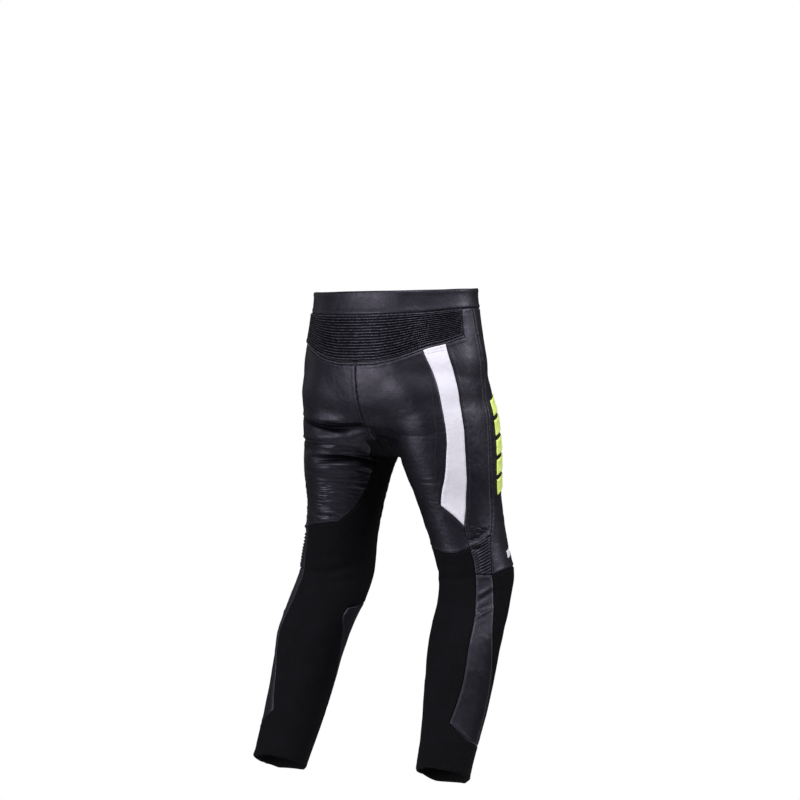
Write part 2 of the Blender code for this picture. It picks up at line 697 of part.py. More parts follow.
def main():
    for old in list(bpy.data.objects):
        bpy.data.objects.remove(old, do_unlink=True)
    leather = material("black_leather", (0.022, 0.021, 0.028), 0.42)
    stretch = material("stretch_textile", (0.006, 0.006, 0.008), 0.85)
    loops = material("knee_loop_textile", (0.004, 0.004, 0.005), 0.95)
    white = material("white_leather", (0.83, 0.82, 0.90), 0.45)
    neon = material("neon_leather", (0.62, 0.95, 0.06), 0.45)
    metal = material("snap_metal", (0.35, 0.35, 0.37), 0.30, 1.0)
    cloth = Cloth()
    pieces = {"waistband": waistband(cloth, leather)}
    back_yoke(cloth, leather)
    for side in SIDES:
        for name, regions, thickness, finish in (
            ("seat", SEAT_PANEL[side], LEATHER, leather),
            ("side", SIDE_PANEL, LEATHER, leather),
            ("front", FRONT_PANEL, LEATHER, leather),
            ("inner_textile", INNER_PANEL, STRETCH_CLOTH, stretch),
            ("outer_calf", CALF_PANEL, LEATHER, leather),
            ("knee_panel", KNEE_PANEL, LEATHER, loops),
            ("inner_patch", INNER_PATCH, LEATHER, leather),
        ):
            faces = plain_cells(cloth, side, regions)
            piece = f"{name}_{side}"
            pieces[piece] = wall(piece, cloth, faces, thickness, finish)
        knee_accordion(cloth, side, leather)
    wall("stripe_right", cloth, plain_cells(cloth, "right", STRIPE), LEATHER, white)
    fly_placket(pieces["front_left"], leather)
    waist_tab(pieces["waistband"], leather)
    waist_snap(metal)
    flash_bars(pieces["front_right"], neon)
    knee_mark(pieces["front_right"], white)


main()
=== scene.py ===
"""Looks of the motorcycle trousers: fine cloth laid on the form of the solids, with creases, rolled
seams, stitches, leather, textile and metal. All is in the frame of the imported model, in metres
where a table does not say millimetres.
"""
import math

import bpy
import numpy as np
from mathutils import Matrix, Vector, noise
from mathutils.bvhtree import BVHTree
from mathutils.kdtree import KDTree


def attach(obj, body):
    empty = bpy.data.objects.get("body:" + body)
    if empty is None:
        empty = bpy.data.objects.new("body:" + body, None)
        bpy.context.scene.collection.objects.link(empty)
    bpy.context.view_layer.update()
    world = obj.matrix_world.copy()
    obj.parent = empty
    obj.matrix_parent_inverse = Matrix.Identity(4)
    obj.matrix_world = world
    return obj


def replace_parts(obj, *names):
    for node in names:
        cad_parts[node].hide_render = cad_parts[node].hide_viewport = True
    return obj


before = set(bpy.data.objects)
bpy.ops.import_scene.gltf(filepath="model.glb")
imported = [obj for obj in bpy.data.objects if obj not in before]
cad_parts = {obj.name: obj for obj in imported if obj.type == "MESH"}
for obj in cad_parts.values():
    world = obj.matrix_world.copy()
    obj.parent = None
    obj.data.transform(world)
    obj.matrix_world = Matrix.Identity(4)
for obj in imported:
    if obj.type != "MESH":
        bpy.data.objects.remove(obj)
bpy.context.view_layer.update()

# ---- The form, as in the solids: tubes, seams and the places between them -------------------

LEATHER = 0.0020
STRETCH_CLOTH = 0.0018
SEAM_GAP = 0.0003
BLEND = 0.030


def metres(table, *degrees):
    """A table of millimetres turned into metres, apart from the columns in degrees."""
    return [[value if column in degrees else value / 1000 for column, value in enumerate(row)]
            for row in table]


# The hip tube, in millimetres: height, half width, depth behind and in front of the middle.
HIPS = metres((
    (-306, 26, 22, 26),
    (-300, 46, 40, 46),
    (-290, 66, 58, 66),
    (-270, 100, 84, 96),
    (-240, 135, 112, 122),
    (-210, 165, 128, 136),
    (-180, 183, 135, 138),
    (-140, 187, 138, 135),
    (-100, 182, 134, 130),
    (-50, 174, 126, 125),
    (0, 169, 120, 120),
    (20, 169, 120, 120),
))
HIPS_END = -0.306
HIPS_CLOSING = 4.0

# A leg tube, in millimetres: height, middle outwards and backwards, half width, half depth, and
# the turn of the toes out in degrees.
LEGS = {
    "left": metres((
        (-960, 188, 151, 51, 51, 10),
        (-900, 184, 125, 53, 52, 10),
        (-850, 180, 103, 56, 55, 10),
        (-780, 177, 72, 60, 62, 10),
        (-700, 174, 42, 65, 66, 10),
        (-640, 172, 18, 72, 70, 10),
        (-583, 164, -14, 76, 68, 10),
        (-526, 157, -36, 72, 72, 10),
        (-470, 145, -31, 69, 77, 10),
        (-393, 128, -23, 72, 90, 8),
        (-333, 117, -17, 81, 104, 6),
        (-280, 104, -16, 89, 117, 3),
        (-230, 96, -12, 93, 122, 0),
        (-180, 90, -5, 88, 118, 0),
        (-120, 85, 0, 74, 102, 0),
    ), 5),
    "right": metres((
        (-960, 187, 153, 50, 48, 10),
        (-900, 183, 125, 52, 49, 10),
        (-850, 180, 103, 54, 52, 10),
        (-780, 177, 72, 58, 61, 10),
        (-700, 173, 42, 64, 68, 10),
        (-640, 168, 16, 70, 66, 10),
        (-583, 163, -18, 72, 63, 10),
        (-526, 157, -36, 71, 72, 10),
        (-470, 145, -31, 69, 77, 10),
        (-393, 129, -23, 73, 90, 8),
        (-333, 118, -17, 84, 104, 6),
        (-280, 106, -16, 93, 117, 3),
        (-230, 98, -12, 96, 122, 0),
        (-180, 90, -5, 88, 118, 0),
        (-120, 85, 0, 74, 102, 0),
    ), 5),
}
LEG_TOP, LEG_TOP_EASE = -0.170, 0.025
# Where a ray from inside the form looks for its surface: from, to and in how many steps.
REACH = (0.01, 0.26, 26)
SIGN = {"left": 1.0, "right": -1.0}

# The upright line that the angles of a half are taken from: it moves from the middle of the leg
# to a place inside the hips between these two heights.
AXIS_LEG, AXIS_HIP, AXIS_OUT = -0.36, -0.20, 0.085

# Long seams, as (height in millimetres, angle round the half). 0 degrees is straight back, 90
# straight outwards. "rise" is the seam between the legs below the crotch; above it, it lies on the
# middle plane. The two seams beside the stripe are those of the solids, smoothed by up to 5 mm.
SEAT_EDGE = ((20, -12), (-140, -14), (-200, -21), (-240, -28), (-270, -36), (-285, -44),
             (-300, -54), (-315, -61))
OUTER_BACK = ((20, 42), (-50, 44), (-99, 46), (-129, 50), (-150, 54), (-174, 57.2), (-195, 59.5),
              (-220, 61), (-243, 61.1), (-264, 60.3), (-285, 57.7), (-306, 54.6), (-330, 50.6),
              (-351, 47.4), (-375, 43.6), (-408, 38), (-438, 31), (-460, 30), (-500, 32),
              (-528, 31))
LONG_SEAMS = {
    "rise": ((-340, -92), (-550, -88), (-595, -74), (-615, -70), (-640, -82), (-680, -96),
             (-702, -104), (-760, -116), (-800, -122), (-850, -110), (-930, -95)),
    "seat_edge": {
        "left": SEAT_EDGE + ((-333, -66), (-360, -64), (-390, -54), (-417, -41), (-435, -26),
                             (-450, -20), (-930, -20)),
        "right": SEAT_EDGE + ((-340, -66), (-440, -66), (-480, -62), (-520, -44), (-560, -24),
                              (-600, -20), (-930, -20)),
    },
    "stripe_back": ((20, 16), (-50, 18), (-111, 22), (-129, 26), (-153, 32), (-174, 36),
                    (-195, 38.6), (-220, 40.8), (-245, 41.4), (-265, 40.4), (-285, 37.8),
                    (-306, 32.8), (-330, 26.4), (-351, 20.2), (-375, 13), (-400, 7), (-440, 3),
                    (-530, 2), (-600, 4), (-700, 6), (-900, 4)),
    "outer_back": {
        "left": OUTER_BACK + ((-582, 34), (-630, 37), (-684, 35), (-732, 24), (-765, 18),
                              (-792, 10), (-850, 12), (-930, 16)),
        "right": OUTER_BACK + ((-582, 34), (-624, 38), (-708, 38), (-759, 32), (-792, 25),
                               (-850, 22), (-930, 22)),
    },
    "yoke_end": ((20, 68), (-40, 69), (-87, 70), (-130, 74), (-200, 80), (-260, 79), (-330, 70),
                 (-420, 60), (-470, 50), (-528, 43), (-600, 50), (-700, 66), (-790, 66),
                 (-900, 62)),
    "outer_front": ((20, 90), (-50, 92), (-129, 97), (-183, 101), (-240, 100), (-264, 97),
                    (-345, 89), (-420, 84), (-447, 75), (-471, 67), (-501, 60), (-528, 56),
                    (-561, 60), (-609, 68), (-669, 85), (-714, 103), (-760, 112), (-840, 114),
                    (-930, 110)),
    "flash_back": ((20, 104), (-129, 109), (-240, 111), (-345, 104), (-420, 102), (-470, 92),
                   (-528, 84), (-600, 92), (-669, 108), (-714, 122), (-840, 130), (-930, 128)),
    "flash_front": ((20, 130), (-240, 140), (-345, 136), (-420, 134), (-528, 126), (-600, 132),
                    (-700, 150), (-840, 154), (-930, 152)),
    "inner_front": ((20, 165), (-140, 172), (-240, 190), (-270, 203), (-285, 213), (-300, 225),
                    (-315, 233), (-340, 234), (-400, 226), (-470, 220), (-528, 218),
                    (-600, 222), (-930, 222)),
}
KEYS = ("rise_back", "seat_edge", "stripe_back", "outer_back", "yoke_end", "outer_front",
        "flash_back", "flash_front", "inner_front", "rise_front")
KEY = {name: number for number, name in enumerate(KEYS)}

# Cross seams: the height in millimetres at each long seam, in the order of KEYS, and whether the
# line between two long seams is straight, as cut along a ruler. None is the crotch, where the legs
# part.
CROSS_SEAMS = (
    ("waist", (0, 0, 1, 2, 4, 5, 6, 8, 9, 10), False),
    ("waist_seam", (-44, -43, -41, -37, -33, -31, -31, -30, -30, -30), False),
    ("yoke_seam", (-138, -134, -111, -99, -87, -85, -85, -86, -88, -90), False),
    ("gusset", (-282, -285, -272, -265, -262, -260, -260, -262, -268, -270), False),
    ("crotch", (None, -316, -306, -302, -300, -300, -300, -302, -312, None), False),
    ("stripe_end", (-394, -396, -399, -438, -434, -425, -420, -410, -400, -394), True),
    ("seat_end", (-464, -474, -489, -479, -466, -456, -456, -458, -462, -464), False),
    ("knee", (-528, -530, -530, -528, -528, -528, -520, -515, -516, -528), False),
    ("patch_top", (-600, -600, -600, -600, -600, -600, -598, -596, -594, -600), False),
    ("calf_end", (-790, -790, -790, -792, -825, -840, -838, -830, -810, -790), True),
    ("hem", (-893, -874, -872, -874, -881, -897, -902, -908, -907, -893), False),
)
# The left leg's cloth is pushed up into folds under the seat, so these two lie higher there.
RAISED_ON_THE_LEFT = {
    "stripe_end": (-380, -378, -384, -404, -414, -412, -408, -402, -392, -380),
    "seat_end": (-440, -436, -440, -447, -452, -455, -454, -453, -450, -440),
}
SEAM_NAMES = [row[0] for row in CROSS_SEAMS]
ROW = {name: number for number, name in enumerate(SEAM_NAMES)}

YOKE_RIBS = 16
YOKE_RIB, KNEE_RIB = 0.0040, 0.0030
YOKE_BAND = 0.085
KNEE_RIBS, KNEE_TILT, KNEE_RIBS_FROM = 10, 2.2, 4.1
RIBS_FADED = 0.25

# What lies on the panels, as in the solids. Widths are in keys.
OVERLAY_GAP = 0.0006
OVERLAY = 0.0012
FLY_WIDTH, FLY_EDGE, FLY_TOP, FLY_FOOT = 0.40, 8.985, -0.034, -0.200
FLY_TURN, FLY_ROUNDING = 0.70, 0.96
TAB_LENGTH, TAB_TOP, TAB_FOOT, TAB_POINT, TAB_TURN = 0.46, 0.13, 0.87, 0.10, 0.70
SNAP_PLACE = 0.62
FLASH_TOP, FLASH_STEP, FLASH_BAR, FLASH_LEAN = -0.205, 0.037, 0.029, 0.014
FLASH_WIDTHS = (0.062, 0.063, 0.060, 0.055, 0.048)
MARK_TOP, MARK_FOOT, MARK_FIRST, MARK_LAST, MARK_LEAN = -0.486, -0.500, 6.30, 6.62, 0.004

# The folds of the solids on the left thigh, in millimetres: height, angle of the middle and
# reach each way in degrees, half height, depth (a ridge is negative).
LEFT_FOLDS = metres((
    (-240, -8, 38, 11, -4.0),
    (-257, -14, 44, 9, 5.5),
    (-276, -10, 52, 10, -3.5),
    (-295, 24, 34, 8, 4.0),
    (-316, -22, 46, 9, 5.0),
    (-332, -18, 40, 10, -3.0),
), 1, 2)


# The plain pieces of each half: upper and lower cross seam, first and last long seam.
WAISTBAND = (("waist", "waist_seam", "rise_back", "rise_front"),)
SIDE_PANEL = (
    ("waist_seam", "yoke_seam", "yoke_end", "outer_front"),
    ("yoke_seam", "seat_end", "outer_back", "outer_front"),
)
FRONT_PANEL = (
    ("waist_seam", "gusset", "outer_front", "rise_front"),
    ("gusset", "knee", "outer_front", "inner_front"),
)
INNER_PANEL = (
    ("gusset", "seat_end", "rise_back", "seat_edge"),
    ("seat_end", "calf_end", "rise_back", "outer_back"),
    ("gusset", "patch_top", "inner_front", "rise_front"),
    ("calf_end", "hem", "rise_back", "rise_front"),
)
CALF_PANEL = (("knee", "calf_end", "outer_back", "outer_front"),)
KNEE_PANEL = (("knee", "calf_end", "outer_front", "inner_front"),)
INNER_PATCH = (("patch_top", "calf_end", "inner_front", "rise_front"),)
SEAT_PANEL = {
    "left": (
        ("yoke_seam", "gusset", "rise_back", "outer_back"),
        ("gusset", "seat_end", "seat_edge", "outer_back"),
    ),
    "right": (
        ("yoke_seam", "gusset", "rise_back", "stripe_back"),
        ("gusset", "stripe_end", "seat_edge", "stripe_back"),
        ("stripe_end", "seat_end", "seat_edge", "outer_back"),
    ),
}
STRIPE = (("yoke_seam", "stripe_end", "stripe_back", "outer_back"),)

SIDES = ("left", "right")


def along(table, height, column):
    """A column of a table by height, as a smooth curve that never overshoots its values."""
    x, y = np.array(sorted(table), float).T[[0, column]]
    height = np.clip(height, x[0], x[-1])
    step = np.diff(x)
    slope = np.diff(y) / step
    tangent = np.zeros_like(y)
    weighed = (slope[1:] * step[:-1] + slope[:-1] * step[1:]) / (x[2:] - x[:-2])
    tangent[1:-1] = np.where(slope[1:] * slope[:-1] > 0, weighed, 0.0)
    tangent[0], tangent[-1] = slope[0], slope[-1]
    at = np.clip(np.searchsorted(x, height, side="right") - 1, 0, len(x) - 2)
    t = (height - x[at]) / step[at]
    return (
        (2 * t**3 - 3 * t**2 + 1) * y[at]
        + (t**3 - 2 * t**2 + t) * step[at] * tangent[at]
        + (-2 * t**3 + 3 * t**2) * y[at + 1]
        + (t**3 - t**2) * step[at] * tangent[at + 1]
    )


def section(height):
    """The sizes of the hip tube and of each leg tube at some heights."""
    cut = {side: [along(LEGS[side], height, column) for column in range(1, 6)] for side in SIDES}
    cut["hips"] = [along(HIPS, height, column) for column in range(1, 4)]
    cut["height"] = height
    return cut


def tube(across, fore, width, depth):
    return (np.sqrt((across / width) ** 2 + (fore / depth) ** 2) - 1) * np.minimum(width, depth)


def eased(rise):
    """Nought below nought and the rise itself above it, turning smoothly from one to the other."""
    turning = (np.clip(rise, -LEG_TOP_EASE, LEG_TOP_EASE) + LEG_TOP_EASE) ** 2
    return turning / (4 * LEG_TOP_EASE) + np.maximum(0, rise - LEG_TOP_EASE)


def form_in(cut, x, y):
    """The form at places of a section: below nought inside the body of the trousers."""
    width, behind, ahead = cut["hips"]
    hips = tube(x, y, width, np.where(y > 0, behind, ahead))
    hips = hips + HIPS_CLOSING * np.maximum(0, HIPS_END - cut["height"])
    legs = []
    for side in SIDES:
        out, back, width, depth, toes = cut[side]
        turn = np.radians(toes)
        aside = x * SIGN[side] - out
        across = aside * np.cos(turn) + (y - back) * np.sin(turn)
        fore = -aside * np.sin(turn) + (y - back) * np.cos(turn)
        legs.append(tube(across, fore, width, depth) + eased(cut["height"] - LEG_TOP))
    return blended(hips, blended(*legs))


def blended(a, b):
    near = np.maximum(BLEND - np.abs(a - b), 0) / BLEND
    return np.minimum(a, b) - near * near * BLEND / 4


def form(p):
    return form_in(section(p[..., 2]), p[..., 0], p[..., 1])


def outward(p, reach=0.0015):
    """The direction straight out of the form."""
    slope = np.stack(
        [form(p + reach * axis) - form(p - reach * axis) for axis in np.eye(3)], axis=-1
    )
    return slope / np.linalg.norm(slope, axis=-1, keepdims=True)


def solve(inside, outside, value, rounds=22):
    """Where value(t), below nought at inside and above it at outside, passes nought."""
    for _ in range(rounds):
        middle = (inside + outside) / 2
        within = value(middle) <= 0
        inside = np.where(within, middle, inside)
        outside = np.where(within, outside, middle)
    return (inside + outside) / 2


def middle_plane_point(height, way, far=0.20):
    """How far back (way 1) or forward (way -1) the form reaches on the middle plane."""
    cut = section(height)
    reach = solve(np.zeros_like(height), np.full_like(height, far),
                  lambda y: form_in(cut, 0 * y, way * y))
    return way * reach


def crotch_height(least=0.20, most=0.40):
    zero = np.zeros(1)
    drop = solve(zero + least, zero + most, lambda d: form_in(section(-d), zero, zero), rounds=30)
    return -float(drop[0])


CROTCH = crotch_height()


def axis_of(height, side):
    """Outwards and backwards place of the upright line that a half's angles are taken from."""
    fade = np.clip((height - AXIS_LEG) / (AXIS_HIP - AXIS_LEG), 0, 1)
    fade = fade * fade * (3 - 2 * fade)
    out = along(LEGS[side], height, 1) * (1 - fade) + AXIS_OUT * fade
    back = along(LEGS[side], height, 2) * (1 - fade)
    return out, back


def rise_angles(height, side):
    """Angles of the seam between the halves, at the back and at the front."""
    out, back = axis_of(height, side)
    level = np.maximum(height, CROTCH)
    behind = middle_plane_point(level, 1.0)
    ahead = middle_plane_point(level, -1.0)
    above = height > CROTCH
    out_c, back_c = axis_of(np.full_like(height, CROTCH), side)
    at_crotch = np.degrees(np.arctan2(-out_c, -back_c))
    inseam = [[CROTCH, float(np.mean(at_crotch))]] + metres(LONG_SEAMS["rise"], 1)
    below = along(inseam, height, 1)
    first = np.where(above, np.degrees(np.arctan2(-out, behind - back)), below)
    last = np.where(above, 360 + np.degrees(np.arctan2(-out, ahead - back)), 360 + below)
    return first, last


def seam_angle(name, height, side):
    table = LONG_SEAMS[name]
    if isinstance(table, dict):
        table = table[side]
    return along(metres(table, 1), height, 1)


def seam_heights(row, side):
    name, heights, straight = CROSS_SEAMS[row]
    if side == "left":
        heights = RAISED_ON_THE_LEFT.get(name, heights)
    return np.array([CROTCH if h is None else h / 1000 for h in heights]), straight


def heights_at(column, row, side):
    """Height of each place, from its column (in keys) and row (in cross seams)."""
    low = np.clip(np.floor(row).astype(int), 0, len(CROSS_SEAMS) - 2)
    height = np.zeros_like(column)
    for band in np.unique(low):
        here = low == band
        share = row[here] - band
        upper, upper_straight = seam_heights(band, side)
        lower, lower_straight = seam_heights(band + 1, side)
        height[here] = (
            spread(upper, column[here], upper_straight) * (1 - share)
            + spread(lower, column[here], lower_straight) * share
        )
        if band == ROW["gusset"]:
            # the rise flattens towards the crotch, so its ends come down sooner there
            sooner = np.sin(share * math.pi / 2) - share
            first = np.clip(1 - column[here], 0, 1)
            last = np.clip(column[here] - (len(KEYS) - 2), 0, 1)
            height[here] += sooner * (
                (lower[0] - upper[0]) * first + (lower[-1] - upper[-1]) * last
            )
    return height


def spread(values, column, straight):
    """A cross seam's heights between the long seams."""
    if straight:
        return np.interp(column, range(len(values)), values)
    return along(enumerate(values), column, 1)


def angle_at(column, height, side):
    """Angle of each place round its half, from its column (in keys) and its height."""
    first, last = rise_angles(height, side)
    angles = [first] + [seam_angle(name, height, side) for name in KEYS[1:-1]] + [last]
    angles = np.array(angles)
    key = np.clip(np.floor(column).astype(int), 0, len(KEYS) - 2)
    share = column - key
    pick = np.arange(len(column))
    return angles[key, pick] * (1 - share) + angles[key + 1, pick] * share


def places(column, row, side):
    """Points of the form, their outward directions and their angles, for flat arrays."""
    height = heights_at(column, row, side)
    angle = angle_at(column, height, side)
    out, back = axis_of(height, side)
    sign = SIGN[side]
    ray = np.radians(angle)
    way_x, way_y = np.sin(ray) * sign, np.cos(ray)
    cut = section(height)
    reach = np.full_like(height, REACH[0])
    found = np.zeros(len(height), bool)
    steps = np.linspace(*REACH)
    for near, far in zip(steps, steps[1:]):
        passed = form_in(cut, out * sign + way_x * far, back + way_y * far) > 0
        reach[passed & ~found] = near
        found |= passed
    step = steps[1] - steps[0]
    reach = solve(reach, reach + step,
                  lambda t: form_in(cut, out * sign + way_x * t, back + way_y * t))
    point = np.stack([out * sign + way_x * reach, back + way_y * reach, height], axis=-1)
    # on the rise above the crotch the point lies on the middle plane exactly
    for place, way in ((column <= 0, 1.0), (column >= len(KEYS) - 1, -1.0)):
        there = place & (height >= CROTCH)
        point[there, 0] = 0.0
        point[there, 1] = middle_plane_point(height[there], way)
    return point, outward(point), angle


# ---- Fine cloth: creases, ripples and the cells of each piece ---------------------------------

# How many fine cells a piece has between cross seams and between long seams.
FINE_DOWN = (14, 26, 88, 30, 72, 50, 30, 28, 60, 28)
FINE_ROUND = (28, 34, 18, 20, 20, 12, 22, 28, 26)
FINE_EASE = 0.5
CELLS_OF_A_RIB, CELLS_OF_A_BAND = 8, 10
# Weaves are laid on a tube of this radius.
WEAVE_RADIUS = 0.075
# How far outside a piece a look for its surface starts.
LOOK_FROM = 0.02
ROLL, ROLL_WIDTH, OVERLAY_ROLL = 0.0012, 0.0024, 0.00072
SWELL, SWELL_AT, SWELL_WIDTH = 0.00050, 0.0046, 0.0028
PUCKER, PUCKER_SIZE, PUCKER_REACH = 0.00060, 0.006, 0.006
CREASE_FADING, TROUGH_SHARPNESS, RIDGE_SHARPNESS, WRINKLE_RIDGE = 0.8, 1.3, 2.0, 0.4
# How far leather is paled by rubbing from an edge, the ridge height that pales a ridge fully,
# partly as rubbing and partly as a painted highlight, and the fold depth at which a fold's
# reflection is fully lowered as painted shade.
RUBBED_EDGE, RIDGE_RUB_AND_PAINTED_HIGHLIGHT, FOLD_PAINTED_SHADE_DEPTH = 0.006, 0.004, 0.007
# Ribs: the share below the surface, how they fade out along and at the edge, and the height
# from which their crests are painted pale as a highlight.
RIBS_SUNK, RIBS_FADING, RIBS_END, RIB_CREST_PAINTED_HIGHLIGHT = 0.35, 0.5, 0.004, 0.70

# Creases by half: half width and depth, both in millimetres, a ridge negative, and the points of
# the line as (angle, millimetres below the waist).
CREASES = {
    "left": (
        # under the seat, as in the view from behind
        (5.0, -2.6, (14, 236), (-1, 240), (-10, 240), (-17, 243), (-30, 244)),
        (3.0, 5.6, (4, 248.5), (-6, 249.2), (-18, 251.8), (-34, 251), (-44, 248)),
        (2.2, -1.8, (0, 252), (-8, 253), (-18, 255), (-32, 255.5)),
        (4.0, 9.6, (60, 230), (46, 236), (30, 243), (22, 246.8), (12, 252), (4, 255.2),
         (-4, 258.5), (-18, 260.5), (-30, 260.2), (-40, 261.5), (-54, 272)),
        (3.0, -1.6, (58, 225), (44, 231), (28, 237), (14, 245.5)),
        (3.0, -2.2, (26, 252), (14, 256), (4, 259), (-4, 262.5), (-14, 264.5), (-24, 265)),
        (7.0, -3.0, (8, 266), (-4, 270.5), (-14, 272.5), (-24, 274), (-36, 276)),
        (3.4, 3.6, (72, 276), (56, 278.5), (40, 279), (20, 280), (4, 282.5), (-8, 283), (-16, 281)),
        (2.2, 3.0, (56, 284), (40, 285.5), (18, 287.8), (6, 288.2), (-6, 288.2), (-16, 287.5)),
        (2.6, -1.8, (66, 270), (48, 273.5), (26, 274.5)),
        (1.8, -2.0, (4, 293), (-6, 293.5), (-11, 293), (-15, 289), (-19, 284.5), (-22, 283)),
        (3.0, -1.8, (4, 305.5), (-6, 306.5), (-16, 308), (-26, 309)),
        (2.0, -2.4, (-20, 308), (-34, 310), (-48, 313), (-60, 315), (-72, 317)),
        (3.0, 8.0, (18, 311.8), (6, 312.2), (-6, 312.4), (-22, 312.6), (-34, 315.2), (-48, 318),
         (-62, 320.8), (-78, 322.5)),
        (2.4, 5.0, (8, 320.5), (-4, 321.2), (-20, 321.4), (-36, 321.6), (-44, 322)),
        (2.0, -3.0, (8, 325), (-2, 325), (-12, 325), (-24, 325.2), (-36, 326)),
        (4.0, -1.8, (-40, 327), (-50, 329.5), (-62, 334), (-72, 345)),
        (2.2, 1.8, (-34, 360.5), (-41, 361), (-50, 362.5)),
        (3.0, -1.8, (-34, 365), (-44, 366.5), (-60, 370)),
        (5.0, 1.6, (44, 330), (24, 338), (8, 339)),
        (7.0, 1.4, (52, 392), (34, 402), (18, 405)),
        (5.0, -1.6, (40, 380), (28, 392), (20, 414), (8, 432)),
        (4.4, -2.2, (4, 414), (-8, 416.5), (-20, 417.5), (-34, 419)),
        (2.4, 2.0, (8, 422.5), (-8, 424), (-22, 424), (-34, 424)),
        (2.4, -1.6, (4, 428.5), (-10, 430), (-22, 432)),
        # the hollow beside the gusset
        (16.0, 9.0, (-112, 284), (-74, 284), (-36, 284)),
        (8.0, 6.0, (-28, 260), (-48, 263), (-74, 268)),
        # behind the knee accordion and on the outer calf
        (4.0, -2.8, (24, 440), (38, 446), (52, 448), (66, 444)),
        (3.2, 2.4, (30, 450), (44, 456), (60, 456), (74, 450)),
        (3.8, -2.0, (30, 566), (42, 560), (56, 551)),
        (4.4, 2.0, (34, 592), (46, 583), (60, 577)),
        (4.0, -1.4, (36, 622), (50, 612), (64, 608)),
        # front: from the hip bone to the fork, over the thigh and above the knee
        (9.0, 3.4, (150, 205), (172, 226), (196, 246), (222, 262)),
        (6.0, 2.6, (138, 232), (166, 252), (190, 268), (212, 281)),
        (7.0, -1.8, (146, 218), (170, 240), (200, 260)),
        (5.0, 1.6, (206, 330), (186, 342), (166, 346)),
        (6.0, 1.8, (112, 470), (140, 482), (172, 486), (200, 480)),
        (4.5, -1.2, (120, 492), (150, 500), (184, 499)),
        # back of the knee, in the textile
        (6.0, 3.0, (-70, 512), (-44, 526), (-14, 534), (16, 530), (30, 524)),
        (5.0, 2.2, (-62, 545), (-36, 552), (-6, 556), (20, 550)),
        (6.0, -2.0, (-66, 529), (-40, 540), (-8, 545), (20, 541)),
        (5.0, 1.6, (-54, 490), (-30, 502), (0, 508), (24, 500)),
        # calf and ankle
        (8.0, 1.6, (-90, 690), (-50, 704), (-10, 706)),
        (5.5, 1.8, (-96, 812), (-50, 828), (0, 830), (40, 842)),
        (5.0, 1.6, (-40, 846), (10, 852), (70, 868)),
        (6.0, 1.6, (120, 856), (170, 872), (230, 866)),
    ),
    "right": (
        # the hollow beside the gusset
        (16.0, 9.0, (-112, 284), (-64, 284), (-16, 284)),
        (12.0, 5.0, (-96, 264), (-60, 264), (-18, 260)),
        # under the seat, where the leg is straighter
        (10.0, 1.8, (-34, 262), (-10, 270), (14, 270), (34, 262)),
        (5.0, 1.6, (-58, 308), (-40, 316), (-18, 319)),
        (2.4, 1.4, (15, 356), (4, 357), (-12, 355.5)),
        (2.6, -1.0, (14, 350.5), (4, 351), (-8, 351)),
        (5.0, 1.4, (-20, 386), (-36, 380), (-54, 366)),
        (6.0, -1.2, (-44, 446), (-52, 436), (-58, 418)),
        # above and behind the knee
        (4.0, -3.0, (24, 478), (36, 473), (48, 468), (60, 460), (70, 452)),
        (3.2, 2.6, (30, 484), (44, 478), (58, 470), (70, 461)),
        (3.0, -2.2, (46, 478), (58, 470), (72, 458)),
        (4.6, 2.0, (28, 466), (42, 461), (56, 453), (66, 442)),
        # outer calf
        (3.4, -2.2, (31, 571), (40, 564), (50, 556), (62, 547)),
        (4.0, 2.0, (30, 580), (42, 571), (54, 562), (66, 556)),
        (3.6, -2.0, (32, 612), (44, 602), (56, 594), (68, 586)),
        (4.4, 1.8, (32, 596), (46, 588), (60, 580)),
        (5.0, 1.4, (36, 630), (50, 619), (66, 611)),
        # front
        (9.0, 3.4, (146, 212), (170, 230), (198, 250), (224, 264)),
        (5.5, 2.4, (142, 240), (168, 256), (194, 272), (214, 285)),
        (7.0, -1.8, (144, 226), (172, 244), (202, 262)),
        (5.0, 1.6, (210, 322), (188, 336), (170, 341)),
        (6.0, 1.8, (110, 474), (136, 485), (168, 488), (202, 481)),
        (4.5, -1.2, (124, 494), (152, 502), (188, 500)),
        # back of the knee, in the textile
        (6.0, 3.0, (-72, 520), (-46, 532), (-16, 538), (14, 534), (28, 526)),
        (5.0, 2.2, (-58, 552), (-30, 560), (-2, 562), (22, 556)),
        (6.0, -2.0, (-66, 536), (-38, 548), (-8, 551), (22, 546)),
        (4.5, 1.4, (-50, 500), (-26, 510), (2, 513), (22, 506)),
        # calf and ankle
        (8.0, 1.6, (-84, 700), (-48, 712), (-6, 716)),
        (5.5, 1.8, (-90, 818), (-40, 834), (12, 832), (50, 846)),
        (5.0, 1.6, (-70, 852), (-10, 858), (48, 868)),
        (6.0, 1.6, (130, 860), (180, 874), (236, 864)),
    ),
}

# Fine wrinkles by half: angles from and to, then in millimetres how far below the waist they start
# and end, their length, how far apart they are, and their depth.
WRINKLES = {
    "left": (
        (12, -32, 322, 440, 18, 4.0, 1.3),
        (8, -30, 322, 438, 40, 9.0, 0.9),
        (-30, -74, 324, 400, 16, 6.0, 1.0),
        (2, -36, 290, 311, 6, 3.4, 1.2),
        (70, -20, 256, 300, 16, 6.0, 0.8),
        (66, 8, 330, 446, 16, 7.0, 1.0),
        (64, -40, 186, 252, 16, 8.0, 0.4),
        (66, 26, 420, 460, 14, 5.0, 1.2),
        (84, 26, 530, 780, 16, 12.0, 0.5),
        (250, 96, 140, 520, 22, 12.0, 0.9),
    ),
    "right": (
        (40, -40, 196, 300, 18, 9.0, 0.4),
        (10, -60, 300, 486, 22, 8.0, 0.4),
        (100, 30, 140, 440, 12, 30.0, 0.2),
        (74, 26, 436, 490, 13, 4.6, 1.1),
        (84, 26, 530, 780, 16, 12.0, 0.5),
        (250, 96, 140, 520, 22, 12.0, 0.9),
    ),
}

